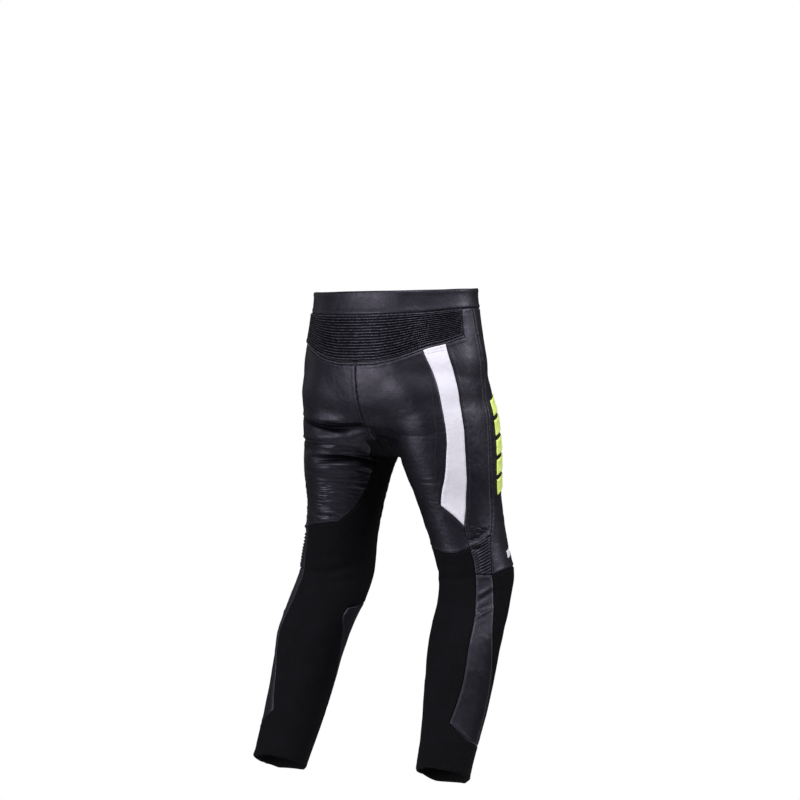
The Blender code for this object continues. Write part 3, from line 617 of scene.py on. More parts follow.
# Hollows and swells of the leather: size, depth. Each is shifted by so much more in the noise.
WANDER = ((0.070, 0.0011), (0.028, 0.00045), (0.011, 0.00014))
WANDER_SHIFT = Vector((3.1, 7.7, 1.3))


def smooth(t):
    t = np.clip(t, 0, 1)
    return t * t * (3 - 2 * t)


def hump(share):
    """From nought at 0 through one at 0.5 to nought at 1."""
    return 4 * share * (1 - share)


def crease_depth(angle, point, side):
    """How deep the creases and wrinkles lie at flat arrays of places of one half."""
    height = point[:, 2]
    depth = np.zeros_like(angle)
    if side == "left":
        for level, middle, reach, half, deep in LEFT_FOLDS:
            across = np.clip(1 - ((angle - middle) / reach) ** 2, 0, 1) ** 2
            depth += deep * across * np.exp(-(((height - level) / half) ** 2))
    for half, deep, *line in CREASES[side]:
        half, deep = half / 1000, deep / 1000
        ends = sorted((degrees, -below) for degrees, below in metres(line, 0))
        first, last = ends[0][0], ends[-1][0]
        here = (angle > first) & (angle < last)
        level = along(ends, angle[here], 1)
        slope = along(ends, angle[here] + 1, 1) - along(ends, angle[here] - 1, 1)
        middle = np.mean([h for _, h in ends])
        radius = (along(LEGS[side], middle, 3) + along(LEGS[side], middle, 4)) / 2
        away = (height[here] - level) * np.cos(np.arctan2(slope, math.radians(2) * radius))
        share = (angle[here] - first) / (last - first)
        fading = np.clip(hump(share), 0, 1) ** CREASE_FADING
        sharp = TROUGH_SHARPNESS if deep > 0 else RIDGE_SHARPNESS
        depth[here] += deep * fading * np.exp(-(np.abs(away / half) ** sharp))
    for first, last, top, foot, length, apart, deep in metres(WRINKLES[side], 0, 1):
        across = np.clip((angle - first) / (last - first), 0, 1)
        down = np.clip((height + top) / (top - foot), 0, 1)
        window = np.sqrt(np.maximum(0, hump(across) * hump(down)))
        here = window > 0
        waves = np.abs([noise.noise(Vector(p)) for p in point[here] / (length, length, apart)])
        ridge = np.minimum(waves / WRINKLE_RIDGE, 1)
        depth[here] += deep * np.minimum(window[here], 1) * (0.5 - ridge)
    return depth


def wander(point, sizes=WANDER):
    depth = np.zeros(len(point))
    for number, (size, deep) in enumerate(sizes):
        shift = WANDER_SHIFT * (number + 1)
        depth += deep * np.array([noise.noise(Vector(p) / size + shift) for p in point])
    return depth


def fine(cells, step=1):
    """Whole numbers and the places between them, closer together near the whole numbers."""
    result = [0.0]
    for number, count in enumerate(cells):
        share = np.arange(1, count + 1) / count
        share = share - FINE_EASE * np.sin(2 * math.pi * share) / (2 * math.pi)
        result += list(number + share[step - 1 :: step])
    return np.array(result)


QUICK = 1
COLUMNS = {step: fine(FINE_ROUND, step) for step in (1, 2)}
ROWS = {step: fine(FINE_DOWN, step) for step in (1, 2)}


def between(values, low, high):
    return values[(values >= low - 1e-6) & (values <= high + 1e-6)]


def grid(side, columns, rows, phase=None):
    """A stretch of cloth: its half, the column and row of each point and the phase of its ribs."""
    column, row = np.meshgrid(columns, rows)
    return side, column, row, 0 * row if phase is None else phase


def plain(side, regions, step):
    """The stretches of a plain piece, between (upper row, lower row, first key, last key)."""
    step = max(step, QUICK)
    return [grid(side, between(COLUMNS[step], KEY[first], KEY[last]),
                 between(ROWS[step], ROW[upper], ROW[lower]))
            for upper, lower, first, last in regions]


def ribbed(side, upper, lower, first, last, ribs, plain_end, tilt=0.0):
    """A stretch of an accordion piece, with a plain band below its ribs.

    Its ribs rise towards the front by so many ribs more at its foot than at its top.
    """
    phase = np.arange(ribs * CELLS_OF_A_RIB + 1) / CELLS_OF_A_RIB
    share = phase / ribs * (1 - plain_end)
    if plain_end:
        band = np.linspace(1 - 1 / CELLS_OF_A_BAND, 0, CELLS_OF_A_BAND)
        share = np.append(share, 1 - plain_end * band)
        phase = np.append(phase, [ribs] * CELLS_OF_A_BAND)
    columns = between(COLUMNS[QUICK], KEY[first], KEY[last])
    forwards = (columns - columns[0]) / (columns[-1] - columns[0])
    phase = phase[:, None] + tilt * share[:, None] * forwards[None, :]
    return grid(side, columns, ROW[upper] + share * (ROW[lower] - ROW[upper]), phase)


# The outer surface of each piece, for what is laid or sewn on it.
SURFACE = {}


def look(surface, place, out):
    """Where a surface lies under a place outside it, and which way it faces there."""
    return surface.ray_cast(Vector(place + LOOK_FROM * out), Vector(-out), 2 * LOOK_FROM)[:2]


def above(surface, point, facing):
    """How far a surface stands out past some points of the form."""
    height = np.zeros(len(point))
    for number, (p, n) in enumerate(zip(point, facing)):
        hit, _ = look(surface, p, n)
        if hit is not None:
            height[number] = (np.array(hit) - p) @ n
    return height


class Cloth:
    """The points of one piece, with what is known of each, and its four-sided cells."""

    def __init__(self, patches):
        keys, phases, corners, turns, count = [], [], [], [], 0
        last = len(KEYS) - 1
        for side, column, row, phase in patches:
            half = np.full(column.shape, SIDES.index(side), float)
            key = np.stack([half, column, row], axis=-1)
            edge = (column == 0) | (column == last)
            key[edge & (row < ROW["crotch"]), 0] = 0
            key[edge & (row == ROW["crotch"])] = (0, 0, ROW["crotch"])
            key[(column == last) & (row > ROW["crotch"]), 1] = 0
            keys.append(key.reshape(-1, 3))
            phases.append(phase.ravel())
            turns.append(((column == last) & (row >= ROW["crotch"])).ravel())
            number = np.arange(column.size).reshape(column.shape) + count
            ring = [number[:-1, :-1], number[1:, :-1], number[1:, 1:], number[:-1, 1:]]
            ring = np.stack([r.ravel() for r in ring], axis=-1)
            corners.append(ring if side == "right" else ring[:, ::-1])
            count += column.size
        keys, kept, number = np.unique(
            np.round(np.concatenate(keys), 6), axis=0, return_index=True, return_inverse=True
        )
        number, corners = number.ravel(), np.concatenate(corners)
        self.corner = number[corners]
        self.phase, self.column = np.concatenate(phases)[kept], keys[:, 1]
        self.point, self.facing = np.zeros((len(keys), 3)), np.zeros((len(keys), 3))
        self.angle, self.crease = np.zeros(len(keys)), np.zeros(len(keys))
        for half, side in enumerate(SIDES):
            of = keys[:, 0] == half
            if not of.any():
                continue
            point, facing, angle = places(keys[of, 1], keys[of, 2], side)
            self.point[of], self.facing[of], self.angle[of] = point, facing, angle
            self.crease[of] = crease_depth(angle, point, side)
        round_it = np.radians(self.angle[number] + 360 * np.concatenate(turns)) * WEAVE_RADIUS
        self.cut = np.stack([round_it, self.point[number, 2]], axis=-1)[corners]
        self.find_border()

    def find_border(self):
        """The points along the edge, the ones before and after each, and all distances from it."""
        a, b = self.corner.ravel(), np.roll(self.corner, -1, axis=1).ravel()
        size = len(self.point)
        there, back = a * size + b, b * size + a
        free = ~np.isin(there, back)
        self.edge = np.stack([a[free], b[free]], axis=-1)
        self.after = dict(self.edge.tolist())
        self.before = {b: a for a, b in self.after.items()}
        tree = KDTree(len(self.after))
        rim = np.array(sorted(self.after))
        for n in rim.tolist():
            tree.insert(self.point[n], n)
        tree.balance()
        near = np.array([tree.find(p)[1] for p in self.point])
        self.away = np.full(size, np.inf)
        for step in (self.after, self.before):
            other = np.array([step.get(n, n) for n in near.tolist()])
            start, way = self.point[near], self.point[other] - self.point[near]
            length = np.maximum((way**2).sum(-1), 1e-12)
            share = np.clip(((self.point - start) * way).sum(-1) / length, 0, 1)
            gap = np.linalg.norm(self.point - start - way * share[:, None], axis=-1)
            self.away = np.minimum(self.away, gap)

    def inwards(self):
        """For each point of the edge, the way in along the cloth, longer at a sharp corner."""
        move = np.zeros_like(self.point)
        for n, previous in self.before.items():
            sides = []
            for start, end in ((previous, n), (n, self.after[n])):
                side = np.cross(self.facing[n], self.point[end] - self.point[start])
                sides.append(side / max(np.linalg.norm(side), 1e-9))
            together = sides[0] + sides[1]
            move[n] = together / max(1 + sides[0] @ sides[1], 0.5)
        return move


def placed(name, data):
    """A new object of the scene."""
    thing = bpy.data.objects.new(name, data)
    bpy.context.scene.collection.objects.link(thing)
    return thing


def piece_of(name, points, faces, slot, *finishes):
    """A new smooth piece of the trousers."""
    mesh = bpy.data.meshes.new(name)
    mesh.from_pydata(np.array(points).tolist(), [], faces)
    mesh.shade_smooth()
    for finish in finishes:
        mesh.materials.append(finish)
    piece = placed(name, mesh)
    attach(piece, "root")
    return piece


def shell(node, patches, slot, flat, area=None, ribs=0.0, ribs_from=0.0, rest=None, finish=None):
    """One piece: an outer and an inner side a thickness apart, joined by a rim all round.

    It lies on the form, or where rest is given on that tree of faces, with a small gap.
    """
    cloth = Cloth(patches)
    thickness, outside, inside = CLOTHS[slot]
    if rest:
        thickness, roll = OVERLAY, OVERLAY_ROLL
        level = above(rest, cloth.point, cloth.facing) + thickness + OVERLAY_GAP
    else:
        roll, level = ROLL, wander(cloth.point) - cloth.crease
    edge = np.clip(cloth.away / ROLL_WIDTH, 0, 1)
    rolled = -roll * (1 - np.sqrt(np.maximum(0, 1 - (1 - edge) ** 2)))
    rolled += SWELL * np.exp(-(((cloth.away - SWELL_AT) / SWELL_WIDTH) ** 2))
    if not rest:
        puckered = wander(cloth.point, ((PUCKER_SIZE, PUCKER),))
        rolled += puckered * np.exp(-cloth.away / PUCKER_REACH)
    # Per point: paler near an edge from rubbing, paler on a ridge partly from rubbing and partly as
    # a painted highlight, and below nought deep in a fold, where the leather's reflection is
    # lowered as painted shade.
    wear_and_painted_light = np.clip(1 - cloth.away / RUBBED_EDGE, 0, 1)
    wear_and_painted_light += np.clip(-cloth.crease / RIDGE_RUB_AND_PAINTED_HIGHLIGHT, 0, 1) - np.clip(cloth.crease / FOLD_PAINTED_SHADE_DEPTH, 0, 1)
    if ribs:
        crest = np.abs(np.sin(np.pi * cloth.phase))
        there = RIBS_FADED + (1 - RIBS_FADED) * smooth((cloth.column - ribs_from) / RIBS_FADING + 1)
        there *= smooth(cloth.away / RIBS_END)
        rolled += ribs * (crest - RIBS_SUNK) * there
        # Rib crests are painted paler as a highlight, and rib hollows go below nought as painted
        # shade.
        wear_and_painted_light += there * (3 * np.maximum(crest - RIB_CREST_PAINTED_HIGHLIGHT, 0) - (1 - crest) ** 2)
    inwards = cloth.inwards() * SEAM_GAP
    outer = cloth.point + cloth.facing * (level + rolled)[:, None] + inwards
    inner = cloth.point + cloth.facing * (level - thickness)[:, None] + (inwards if rest else 0)
    count, cells = len(outer), len(cloth.corner)
    rim = np.concatenate([cloth.edge[:, ::-1], cloth.edge + count], axis=-1)
    faces = np.concatenate([cloth.corner, cloth.corner[:, ::-1] + count, rim])
    piece = piece_of(node + "_cloth", np.concatenate([outer, inner]), faces.tolist(), slot,
                     finish or outside, inside)
    mesh, sides = piece.data, np.zeros(len(faces), np.int32)
    sides[cells : 2 * cells] = 1
    mesh.polygons.foreach_set("material_index", sides)
    cut = np.concatenate([cloth.cut, cloth.cut[:, ::-1], np.zeros((len(rim), 4, 2))])
    mesh.uv_layers.new(name="cut").data.foreach_set("uv", cut.astype(np.float32).ravel())
    wear_and_painted_light = np.concatenate([wear_and_painted_light, 0 * wear_and_painted_light]).astype(np.float32)
    mesh.attributes.new("wear_and_painted_light", "FLOAT", "POINT").data.foreach_set("value", wear_and_painted_light)
    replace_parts(piece, node)
    SURFACE[node] = BVHTree.FromPolygons(outer.tolist(), cloth.corner.tolist())


# ---- Stitches and small things ----------------------------------------------------------------

STITCH, STITCH_PITCH, THREAD = 0.0032, 0.0043, 0.00042
# Along a stitch, in halves of it: its width and its height, in threads.
STITCH_SECTIONS = ((-1.0, 0.15, -0.7), (-0.75, 0.9, 0.1), (0.0, 1.0, 0.75), (0.75, 0.9, 0.1),
                   (1.0, 0.15, -0.7))
STITCH_SIDES = 5
# Points down and across each piece that is sewn on.
FLY_CELLS, TAB_CELLS, FLASH_CELLS, MARK_CELLS = (72, 22), (24, 40), (18, 36), 12
# A step off a seam, in keys or rows, that tells how far they are apart there.
BESIDE = 0.02

# Stitched seams: piece, the halves that it is sewn on, the seam, where it starts and ends, and how
# far from the seam, in metres, negative towards the back or upwards.
LEFT, RIGHT = ("left",), ("right",)
STITCHES = (
    ("waistband", SIDES, "waist", "rise_back", "rise_front", 0.0060),
    ("waistband", SIDES, "waist_seam", "rise_back", "rise_front", -0.0050),
    ("side_{}", SIDES, "yoke_end", "waist_seam", "yoke_seam", 0.0060),
    ("side_{}", SIDES, "outer_back", "yoke_seam", "seat_end", 0.0060),
    ("front_{}", SIDES, "outer_front", "waist_seam", "knee", 0.0050),
    ("front_{}", SIDES, "inner_front", "gusset", "knee", -0.0050),
    ("front_{}", SIDES, "knee", "outer_front", "inner_front", -0.0050),
    ("front_{}", SIDES, "rise_front", "waist_seam", "gusset", -0.0050),
    ("seat_{}", SIDES, "seat_end", "seat_edge", "outer_back", -0.0050),
    ("seat_{}", LEFT, "rise_back", "yoke_seam", "gusset", 0.0090),
    ("seat_{}", LEFT, "outer_back", "yoke_seam", "seat_end", -0.0050),
    ("seat_{}", RIGHT, "stripe_back", "yoke_seam", "stripe_end", -0.0050),
    ("outer_calf_{}", SIDES, "outer_back", "knee", "calf_end", 0.0050),
    ("outer_calf_{}", SIDES, "knee", "outer_back", "outer_front", 0.0050),
    ("inner_patch_{}", SIDES, "inner_front", "patch_top", "calf_end", 0.0050),
)
# Stitches that stand out from the leather, and those on the stripe.
PALER_STITCHES = (
    ("back_yoke", SIDES, "yoke_seam", "rise_back", "yoke_end", -0.0022),
    ("back_yoke", SIDES, "yoke_seam", "rise_back", "yoke_end", -0.0072),
    ("side_{}", SIDES, "outer_front", "waist_seam", "seat_end", -0.0050),
    ("outer_calf_{}", SIDES, "outer_front", "knee", "calf_end", -0.0050),
)
STRIPE_STITCHES = (
    ("stripe_{}", RIGHT, "yoke_seam", "stripe_back", "outer_back", 0.0015),
    ("stripe_{}", RIGHT, "yoke_seam", "stripe_back", "outer_back", 0.0040),
)


def seam_line(side, seam, first, last, aside, samples=600):
    """Points of the form along a line beside a seam, with their outward directions."""
    if seam in KEY:
        place = [np.full(samples, float(KEY[seam])), np.linspace(ROW[first], ROW[last], samples)]
        step = (BESIDE if KEY[seam] < len(KEYS) - 1 else -BESIDE, 0.0)
    else:
        place = [np.linspace(KEY[first], KEY[last], samples), np.full(samples, float(ROW[seam]))]
        step = (0.0, BESIDE if ROW[seam] == 0 else -BESIDE)
    step = np.array(step)[:, None]
    away = places(*(place + step), side)[0] - places(*place, side)[0]
    place = place + aside * np.abs(step) / np.linalg.norm(away, axis=-1)
    return places(*place, side)[:2]


def sewn(point, facing, surface, pitch):
    """Where stitches lie along a line: their middles, half lengths and outward directions."""
    run = np.concatenate([[0], np.cumsum(np.linalg.norm(np.diff(point, axis=0), axis=-1))])
    count = int((run[-1] - 2 * pitch) / pitch)
    for at in (np.arange(count) + 0.5) * pitch + (run[-1] - count * pitch) / 2:
        out = np.array([np.interp(at, run, facing[:, k]) for k in range(3)])
        out /= np.linalg.norm(out)
        ends = [at - STITCH / 2, at, at + STITCH / 2]
        ends = np.stack([np.interp(ends, run, point[:, k]) for k in range(3)], axis=-1)
        hits = [look(surface, end, out) for end in ends]
        if all(hit is not None for hit, _ in hits):
            start, middle, end = (np.array(hit) for hit, _ in hits)
            yield middle, (end - start) / 2, np.array(hits[1][1])


def ring_faces(start, rings, sides):
    """The faces between rings of points, numbered from start."""
    return [(first + k, first + (k + 1) % sides, first + sides + (k + 1) % sides, first + sides + k)
            for first in range(start, start + (rings - 1) * sides, sides) for k in range(sides)]


def stitches(name, seams, finish, slot):
    """All stitches of some seams as one mesh of short rounded threads."""
    points, faces = [], []
    turns = [2 * math.pi * (k + 0.5) / STITCH_SIDES for k in range(STITCH_SIDES)]
    for piece, sides, *seam in seams:
        for side in sides:
            surface = SURFACE[piece.format(side)]
            for middle, half, out in sewn(*seam_line(side, *seam), surface, STITCH_PITCH * QUICK):
                across = np.cross(out, half)
                across /= max(np.linalg.norm(across), 1e-9)
                faces += ring_faces(len(points), len(STITCH_SECTIONS), STITCH_SIDES)
                points += [middle + half * share + THREAD * (
                    across * math.cos(turn) * wide + out * (math.sin(turn) * wide + high))
                    for share, wide, high in STITCH_SECTIONS for turn in turns]
    piece_of(name, points, faces, slot, finish)


def rows_at(height, column, side, samples=401):
    """The rows, in cross seams, at which some columns are at some heights."""
    rows = np.linspace(0, len(CROSS_SEAMS) - 1, samples)
    found = [np.interp(-h, -heights_at(np.full_like(rows, c), rows, side), rows)
             for h, c in zip(height.ravel(), column.ravel())]
    return np.reshape(found, column.shape)


def applied(name, side, column, row, carrier, slot, flat):
    """A piece that is sewn flat on another."""
    shell(name, [(side, column, row, 0 * row)], slot, flat, rest=SURFACE[carrier])


def fly_placket():
    share = np.linspace(0, 1, FLY_CELLS[0] // QUICK)[:, None]
    turn = np.clip((share - FLY_TURN) / (1 - FLY_TURN), 0, 1)
    width = FLY_WIDTH * np.sqrt(1 - FLY_ROUNDING * turn**2)
    column = FLY_EDGE - width * np.linspace(1, 0, FLY_CELLS[1] // QUICK)
    height = np.broadcast_to(FLY_TOP + (FLY_FOOT - FLY_TOP) * share, column.shape)
    applied("fly_placket", "left", column, rows_at(height, column, "left"), "front_left",
            "black_leather", (0.049, 0.167))


def waist_tab():
    share = np.linspace(1, 0, TAB_CELLS[1] // QUICK)
    point = smooth((share - TAB_TURN) / (1 - TAB_TURN)) * TAB_POINT
    down = np.linspace(0, 1, TAB_CELLS[0] // QUICK)[:, None]
    row = (TAB_TOP + point) * (1 - down) + (TAB_FOOT - point) * down
    column = np.broadcast_to(FLY_EDGE - TAB_LENGTH * share, row.shape)
    applied("waist_tab", "right", column, row, "waistband", "black_leather", (0.055, 0.032))


# The snap's outline from its middle outwards: radius and height above the tab.
SNAP = ((0.0, 0.00205), (0.0020, 0.00200), (0.0042, 0.00180), (0.0052, 0.00140), (0.0056, 0.00110),
        (0.0060, 0.00140), (0.0068, 0.00170), (0.0075, 0.00150), (0.0080, 0.00080),
        (0.0080, 0.00000), (0.0076, -0.00040))
SNAP_SIDES, SNAP_ROW, SNAP_RISE = 48, 0.5, 0.0004


def waist_snap(metal):
    column = np.array([FLY_EDGE - TAB_LENGTH * SNAP_PLACE])
    point, facing, _ = places(column, np.array([SNAP_ROW]), "right")
    up = facing[0]
    base = point[0] + up * (above(SURFACE["waist_tab"], point, facing)[0] + SNAP_RISE)
    side = np.cross(up, (0, 0, 1))
    side /= np.linalg.norm(side)
    rise = np.cross(up, side)
    turns = [2 * math.pi * k / SNAP_SIDES for k in range(SNAP_SIDES)]
    points = [base + up * height + radius * (side * math.cos(turn) + rise * math.sin(turn))
              for radius, height in SNAP[1:] for turn in turns]
    foot, middle = len(points) - SNAP_SIDES, len(points)
    points.append(base + up * SNAP[0][1])
    faces = ring_faces(0, len(SNAP) - 1, SNAP_SIDES)
    faces += [(middle, (k + 1) % SNAP_SIDES, k) for k in range(SNAP_SIDES)]
    faces.append(tuple(range(foot, middle)))
    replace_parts(piece_of("snap_button", points, faces, "snap_metal", metal), "waist_snap")


def flash_bars():
    column, down = np.meshgrid(
        np.linspace(KEY["flash_back"], KEY["flash_front"], FLASH_CELLS[1] // QUICK),
        np.linspace(0, 1, FLASH_CELLS[0] // QUICK),
    )
    for number, width in enumerate(FLASH_WIDTHS):
        top = FLASH_TOP - number * FLASH_STEP
        height = top - FLASH_BAR * down + FLASH_LEAN * (column - KEY["flash_back"])
        applied(f"flash_bar_{number + 1}", "right", column, rows_at(height, column, "right"),
                "front_right", "neon_leather", (width, FLASH_BAR))


def knee_mark():
    column, height = np.meshgrid(np.linspace(MARK_FIRST, MARK_LAST, MARK_CELLS),
                                 np.linspace(MARK_TOP, MARK_FOOT, MARK_CELLS))
    height = height + MARK_LEAN * (column - MARK_FIRST) / (MARK_LAST - MARK_FIRST)
    applied("knee_mark", "right", column, rows_at(height, column, "right"), "front_right",
            "white_leather", (0.016, 0.014))


# ---- Materials --------------------------------------------------------------------------------

# Where a mix node has its share, its two colours and their mixture.
MIX_SHARE, MIX_FIRST, MIX_SECOND, MIX_COLOUR = 0, 6, 7, 2
# The size of the patches of tone of each kind of cloth and thread.
LEATHER_TONE, WOVEN_TONE, LOOPED_TONE, METAL_TONE, THREAD_TONE = 0.045, 0.03, 0.004, 0.002, 0.001
# What stands out from them: its size and depth.
PEBBLES, PORES = (0.009, 0.00045), (0.0017, 0.00010)
WOVEN_WAVES, LOOPED_WAVES = (0.012, 0.0006), (0.015, 0.0008)
BRUSHING, FUZZ = (0.0006, 0.00002), (0.0005, 0.0001)
# Leather: the size of its scuffs, dull places and fine spots, its tint, and how much it
# reflects straight on, deep in a crease, where it is lowered as painted shade, and elsewhere.
SCUFFS, DULL_PLACES, SPOTS = 0.004, 0.03, 0.0016
LEATHER_TINT, PAINTED_CREASE_SHADE_SHINE, LEATHER_SHINE = (0.86, 0.82, 1.0), 0.05, 0.42


class Finish:
    """A material made of nodes. Plain values sit on the shader's own sockets."""

    def __init__(self, name, coordinates="Object", **values):
        self.material = bpy.data.materials.new(name)
        self.material.use_nodes = True
        self.nodes = self.material.node_tree.nodes
        self.shader = self.nodes["Principled BSDF"]
        for socket, value in values.items():
            self.set(self.shader.inputs[socket.replace("_", " ")], value)
        self.place = self.node("TexCoord").outputs[coordinates]
        self.normal = None

    def node(self, kind, inputs=(), **settings):
        node = self.nodes.new(f"ShaderNode{kind}")
        for name, value in settings.items():
            setattr(node, name, value)
        for name, value in dict(inputs).items():
            self.set(node.inputs[name], value)
        return node

    def set(self, socket, value):
        if isinstance(value, bpy.types.NodeSocket):
            self.material.node_tree.links.new(value, socket)
        else:
            socket.default_value = (*value, 1.0) if socket.type == "RGBA" else value

    def noise(self, size, detail=2.0):
        inputs = {"Vector": self.place, "Scale": 1 / size, "Detail": detail}
        return self.node("TexNoise", inputs).outputs["Fac"]

    def cells(self, size):
        inputs = {"Vector": self.place, "Scale": 1 / size}
        return self.node("TexVoronoi", inputs).outputs["Distance"]

    def ranged(self, value, low, high, to_low=0.0, to_high=1.0):
        node = self.node("MapRange", {"Value": value, "From Min": low, "From Max": high,
                                      "To Min": to_low, "To Max": to_high})
        return node.outputs["Result"]

    def math(self, operation, *values):
        return self.node("Math", dict(enumerate(values)), operation=operation).outputs[0]

    def mixed(self, share, first, second):
        inputs = {MIX_SHARE: share, MIX_FIRST: first, MIX_SECOND: second}
        return self.node("Mix", inputs, data_type="RGBA").outputs[MIX_COLOUR]

    def bump(self, height, depth):
        inputs = {"Height": height, "Distance": depth, "Strength": 1.0}
        if self.normal:
            inputs["Normal"] = self.normal
        self.normal = self.node("Bump", inputs).outputs["Normal"]

    def uneven(self, size, depth, detail=3.0):
        """Soft bumps, with the noise that makes them."""
        waves = self.noise(size, detail)
        self.bump(waves, depth)
        return waves

    def done(self, colour=None, roughness=None):
        for name, value in (("Base Color", colour), ("Roughness", roughness),
                            ("Normal", self.normal)):
            if value is not None:
                self.set(self.shader.inputs[name], value)
        return self.material


def rubbed(finish):
    """From -1, painted shade deep in creases and rib hollows, to 1, paled by rubbing at edges,
    partly by rubbing and partly as a painted highlight on ridges, and as a painted highlight on rib
    crests.
    """
    return finish.node("Attribute", attribute_name="wear_and_painted_light").outputs["Fac"]


def grained(name, dark, pale, edge, rough, deep=1.0):
    """Smooth-grained leather: pebbled grain, fine wrinkles, paler where rubbing wears it and where
    a highlight is painted on ridges and rib crests, and less reflective where shade is painted deep
    in creases.
    """
    finish = Finish(name, Specular_Tint=LEATHER_TINT)
    patches = finish.ranged(finish.noise(LEATHER_TONE, 3.0), 0.35, 0.65)
    colour = finish.mixed(patches, dark, pale)
    # Paler colour where the attribute is above nought: rubbing at edges, a painted highlight
    # together with rubbing on ridges, and a painted highlight on rib crests.
    rub_and_painted_highlight = finish.math("MULTIPLY", rubbed(finish), finish.ranged(finish.noise(SCUFFS), 0.4, 0.7))
    colour = finish.mixed(finish.math("MULTIPLY", rub_and_painted_highlight, 0.6), colour, edge)
    gloss = finish.math("ADD", finish.ranged(finish.noise(DULL_PLACES), 0.3, 0.7, rough - 0.04,
                                             rough + 0.05),
                        finish.math("MULTIPLY", finish.noise(SPOTS, 1.0), 0.06))
    # Less reflection where the attribute is below nought: painted shade deep in creases and rib
    # hollows.
    finish.set(finish.shader.inputs["Specular IOR Level"],
               finish.ranged(rubbed(finish), -1.0, 0.0, PAINTED_CREASE_SHADE_SHINE, LEATHER_SHINE))
    finish.uneven(PEBBLES[0], PEBBLES[1] * deep)
    finish.bump(finish.cells(PORES[0]), PORES[1] * deep)
    return finish.done(colour, gloss)


def woven(name, dark, pale, pitch, deep, **values):
    """A matt textile with crossing threads, laid along its own cut."""
    finish = Finish(name, "UV", Roughness=0.85, **values)
    split = finish.node("SeparateXYZ", {"Vector": finish.place})
    turn = 2 * math.pi / pitch
    along_it = finish.math("SINE", finish.math("MULTIPLY", split.outputs["X"], turn))
    across_it = finish.math("SINE", finish.math("MULTIPLY", split.outputs["Y"], turn))
    threads = finish.math("MULTIPLY", along_it, across_it)
    finish.place = finish.node("TexCoord").outputs["Object"]
    finish.uneven(*WOVEN_WAVES)
    finish.bump(threads, deep)
    patches = finish.ranged(finish.noise(WOVEN_TONE, 4.0), 0.35, 0.65)
    return finish.done(finish.mixed(patches, dark, pale))


def looped(name, dark, pale, size, deep, **values):
    """A deep textile of small loops."""
    finish = Finish(name, Roughness=0.95, **values)
    finish.uneven(*LOOPED_WAVES)
    finish.bump(finish.math("SUBTRACT", 1.0, finish.cells(size)), deep)
    patches = finish.ranged(finish.noise(LOOPED_TONE, 3.0), 0.3, 0.7)
    return finish.done(finish.mixed(patches, dark, pale))


def polished(name, colour, rough, paler=1.25):
    finish = Finish(name, Metallic=1.0)
    brushed = finish.uneven(*BRUSHING, 2.0)
    colours = finish.mixed(finish.noise(METAL_TONE), colour, [c * paler for c in colour])
    return finish.done(colours, finish.ranged(brushed, 0.2, 0.8, rough - 0.06, rough + 0.08))


def cotton(name, dark, pale):
    finish = Finish(name, Roughness=0.8)
    finish.uneven(*FUZZ, 1.0)
    return finish.done(finish.mixed(finish.noise(THREAD_TONE), dark, pale))


# ---- Light, floor and camera ------------------------------------------------------------------

# Where the photograph was taken from: azimuth, distance, height and the shift to the right, and
# how much of the picture's plane at the trousers one of its pixels covers.
AZIMUTH, DISTANCE, EYE_HEIGHT, EYE_ASIDE, PIXEL = 213.0, 5.5, -0.2033, 0.00855, 0.0019
PICTURE_WIDTH = 800
FLOOR, FLOOR_RADIUS, FLOOR_SIDES = -1.06, 0.62, 96

# Softboxes: degrees to the camera's right and above the level of the trousers, width, height,
# power. All stand LIGHT_DISTANCE away from the middle of the trousers.
LIGHTS = (
    ("softbox_left", -52, 7, 0.50, 1.2, 39.0),
    ("softbox_low_left", -62, -17, 0.40, 0.7, 6.0),
    ("softbox_far_left", -72, 7, 0.45, 1.2, 5.0),
    ("softbox_right", 40, 32, 0.80, 0.9, 11.0),
    ("softbox_low_right", 6, 8, 0.45, 1.3, 4.0),
    ("softbox_far_right", 82, 28, 0.80, 0.9, 36.0),
    ("softbox_rim", -132, 14, 0.45, 1.2, 1.0),
    ("softbox_top", -8, 54, 0.80, 0.8, 50.0),
)
LIGHT_DISTANCE, LIT_HEIGHT, LIGHT_COLOUR = 2.6, -0.35, (0.96, 0.94, 1.0)
ROOM_LIGHT, ROOM_SEEN = 0.06, 1.0


def towards_camera(turn=0.0):
    """The level direction from the trousers to the camera, turned to the camera's right."""
    angle = math.radians(AZIMUTH + turn)
    return Vector((math.sin(angle), -math.cos(angle), 0))


def camera():
    eye = bpy.data.cameras.new("camera")
    eye.sensor_width = eye.sensor_height = 36.0
    eye.sensor_fit = "HORIZONTAL"
    eye.angle = 2 * math.atan(PICTURE_WIDTH * PIXEL / 2 / DISTANCE)
    eye.clip_end = 100
    seen = placed("camera", eye)
    back = towards_camera()
    right = Vector((0, 0, 1)).cross(back)
    seen.location = back * DISTANCE + right * EYE_ASIDE + Vector((0, 0, EYE_HEIGHT))
    seen.rotation_euler = back.to_track_quat("Z", "Y").to_euler()
    bpy.context.scene.camera = seen


def softboxes():
    for name, turn, rise, wide, high, power in LIGHTS:
        light = bpy.data.lights.new(name, "AREA")
        light.shape = "RECTANGLE"
        light.size, light.size_y, light.energy = wide, high, power
        light.color = LIGHT_COLOUR
        lamp = placed(name, light)
        rise = math.radians(rise)
        way = towards_camera(turn) * math.cos(rise) + Vector((0, 0, math.sin(rise)))
        lamp.location = way * LIGHT_DISTANCE + Vector((0, 0, LIT_HEIGHT))
        lamp.rotation_euler = way.to_track_quat("Z", "Y").to_euler()


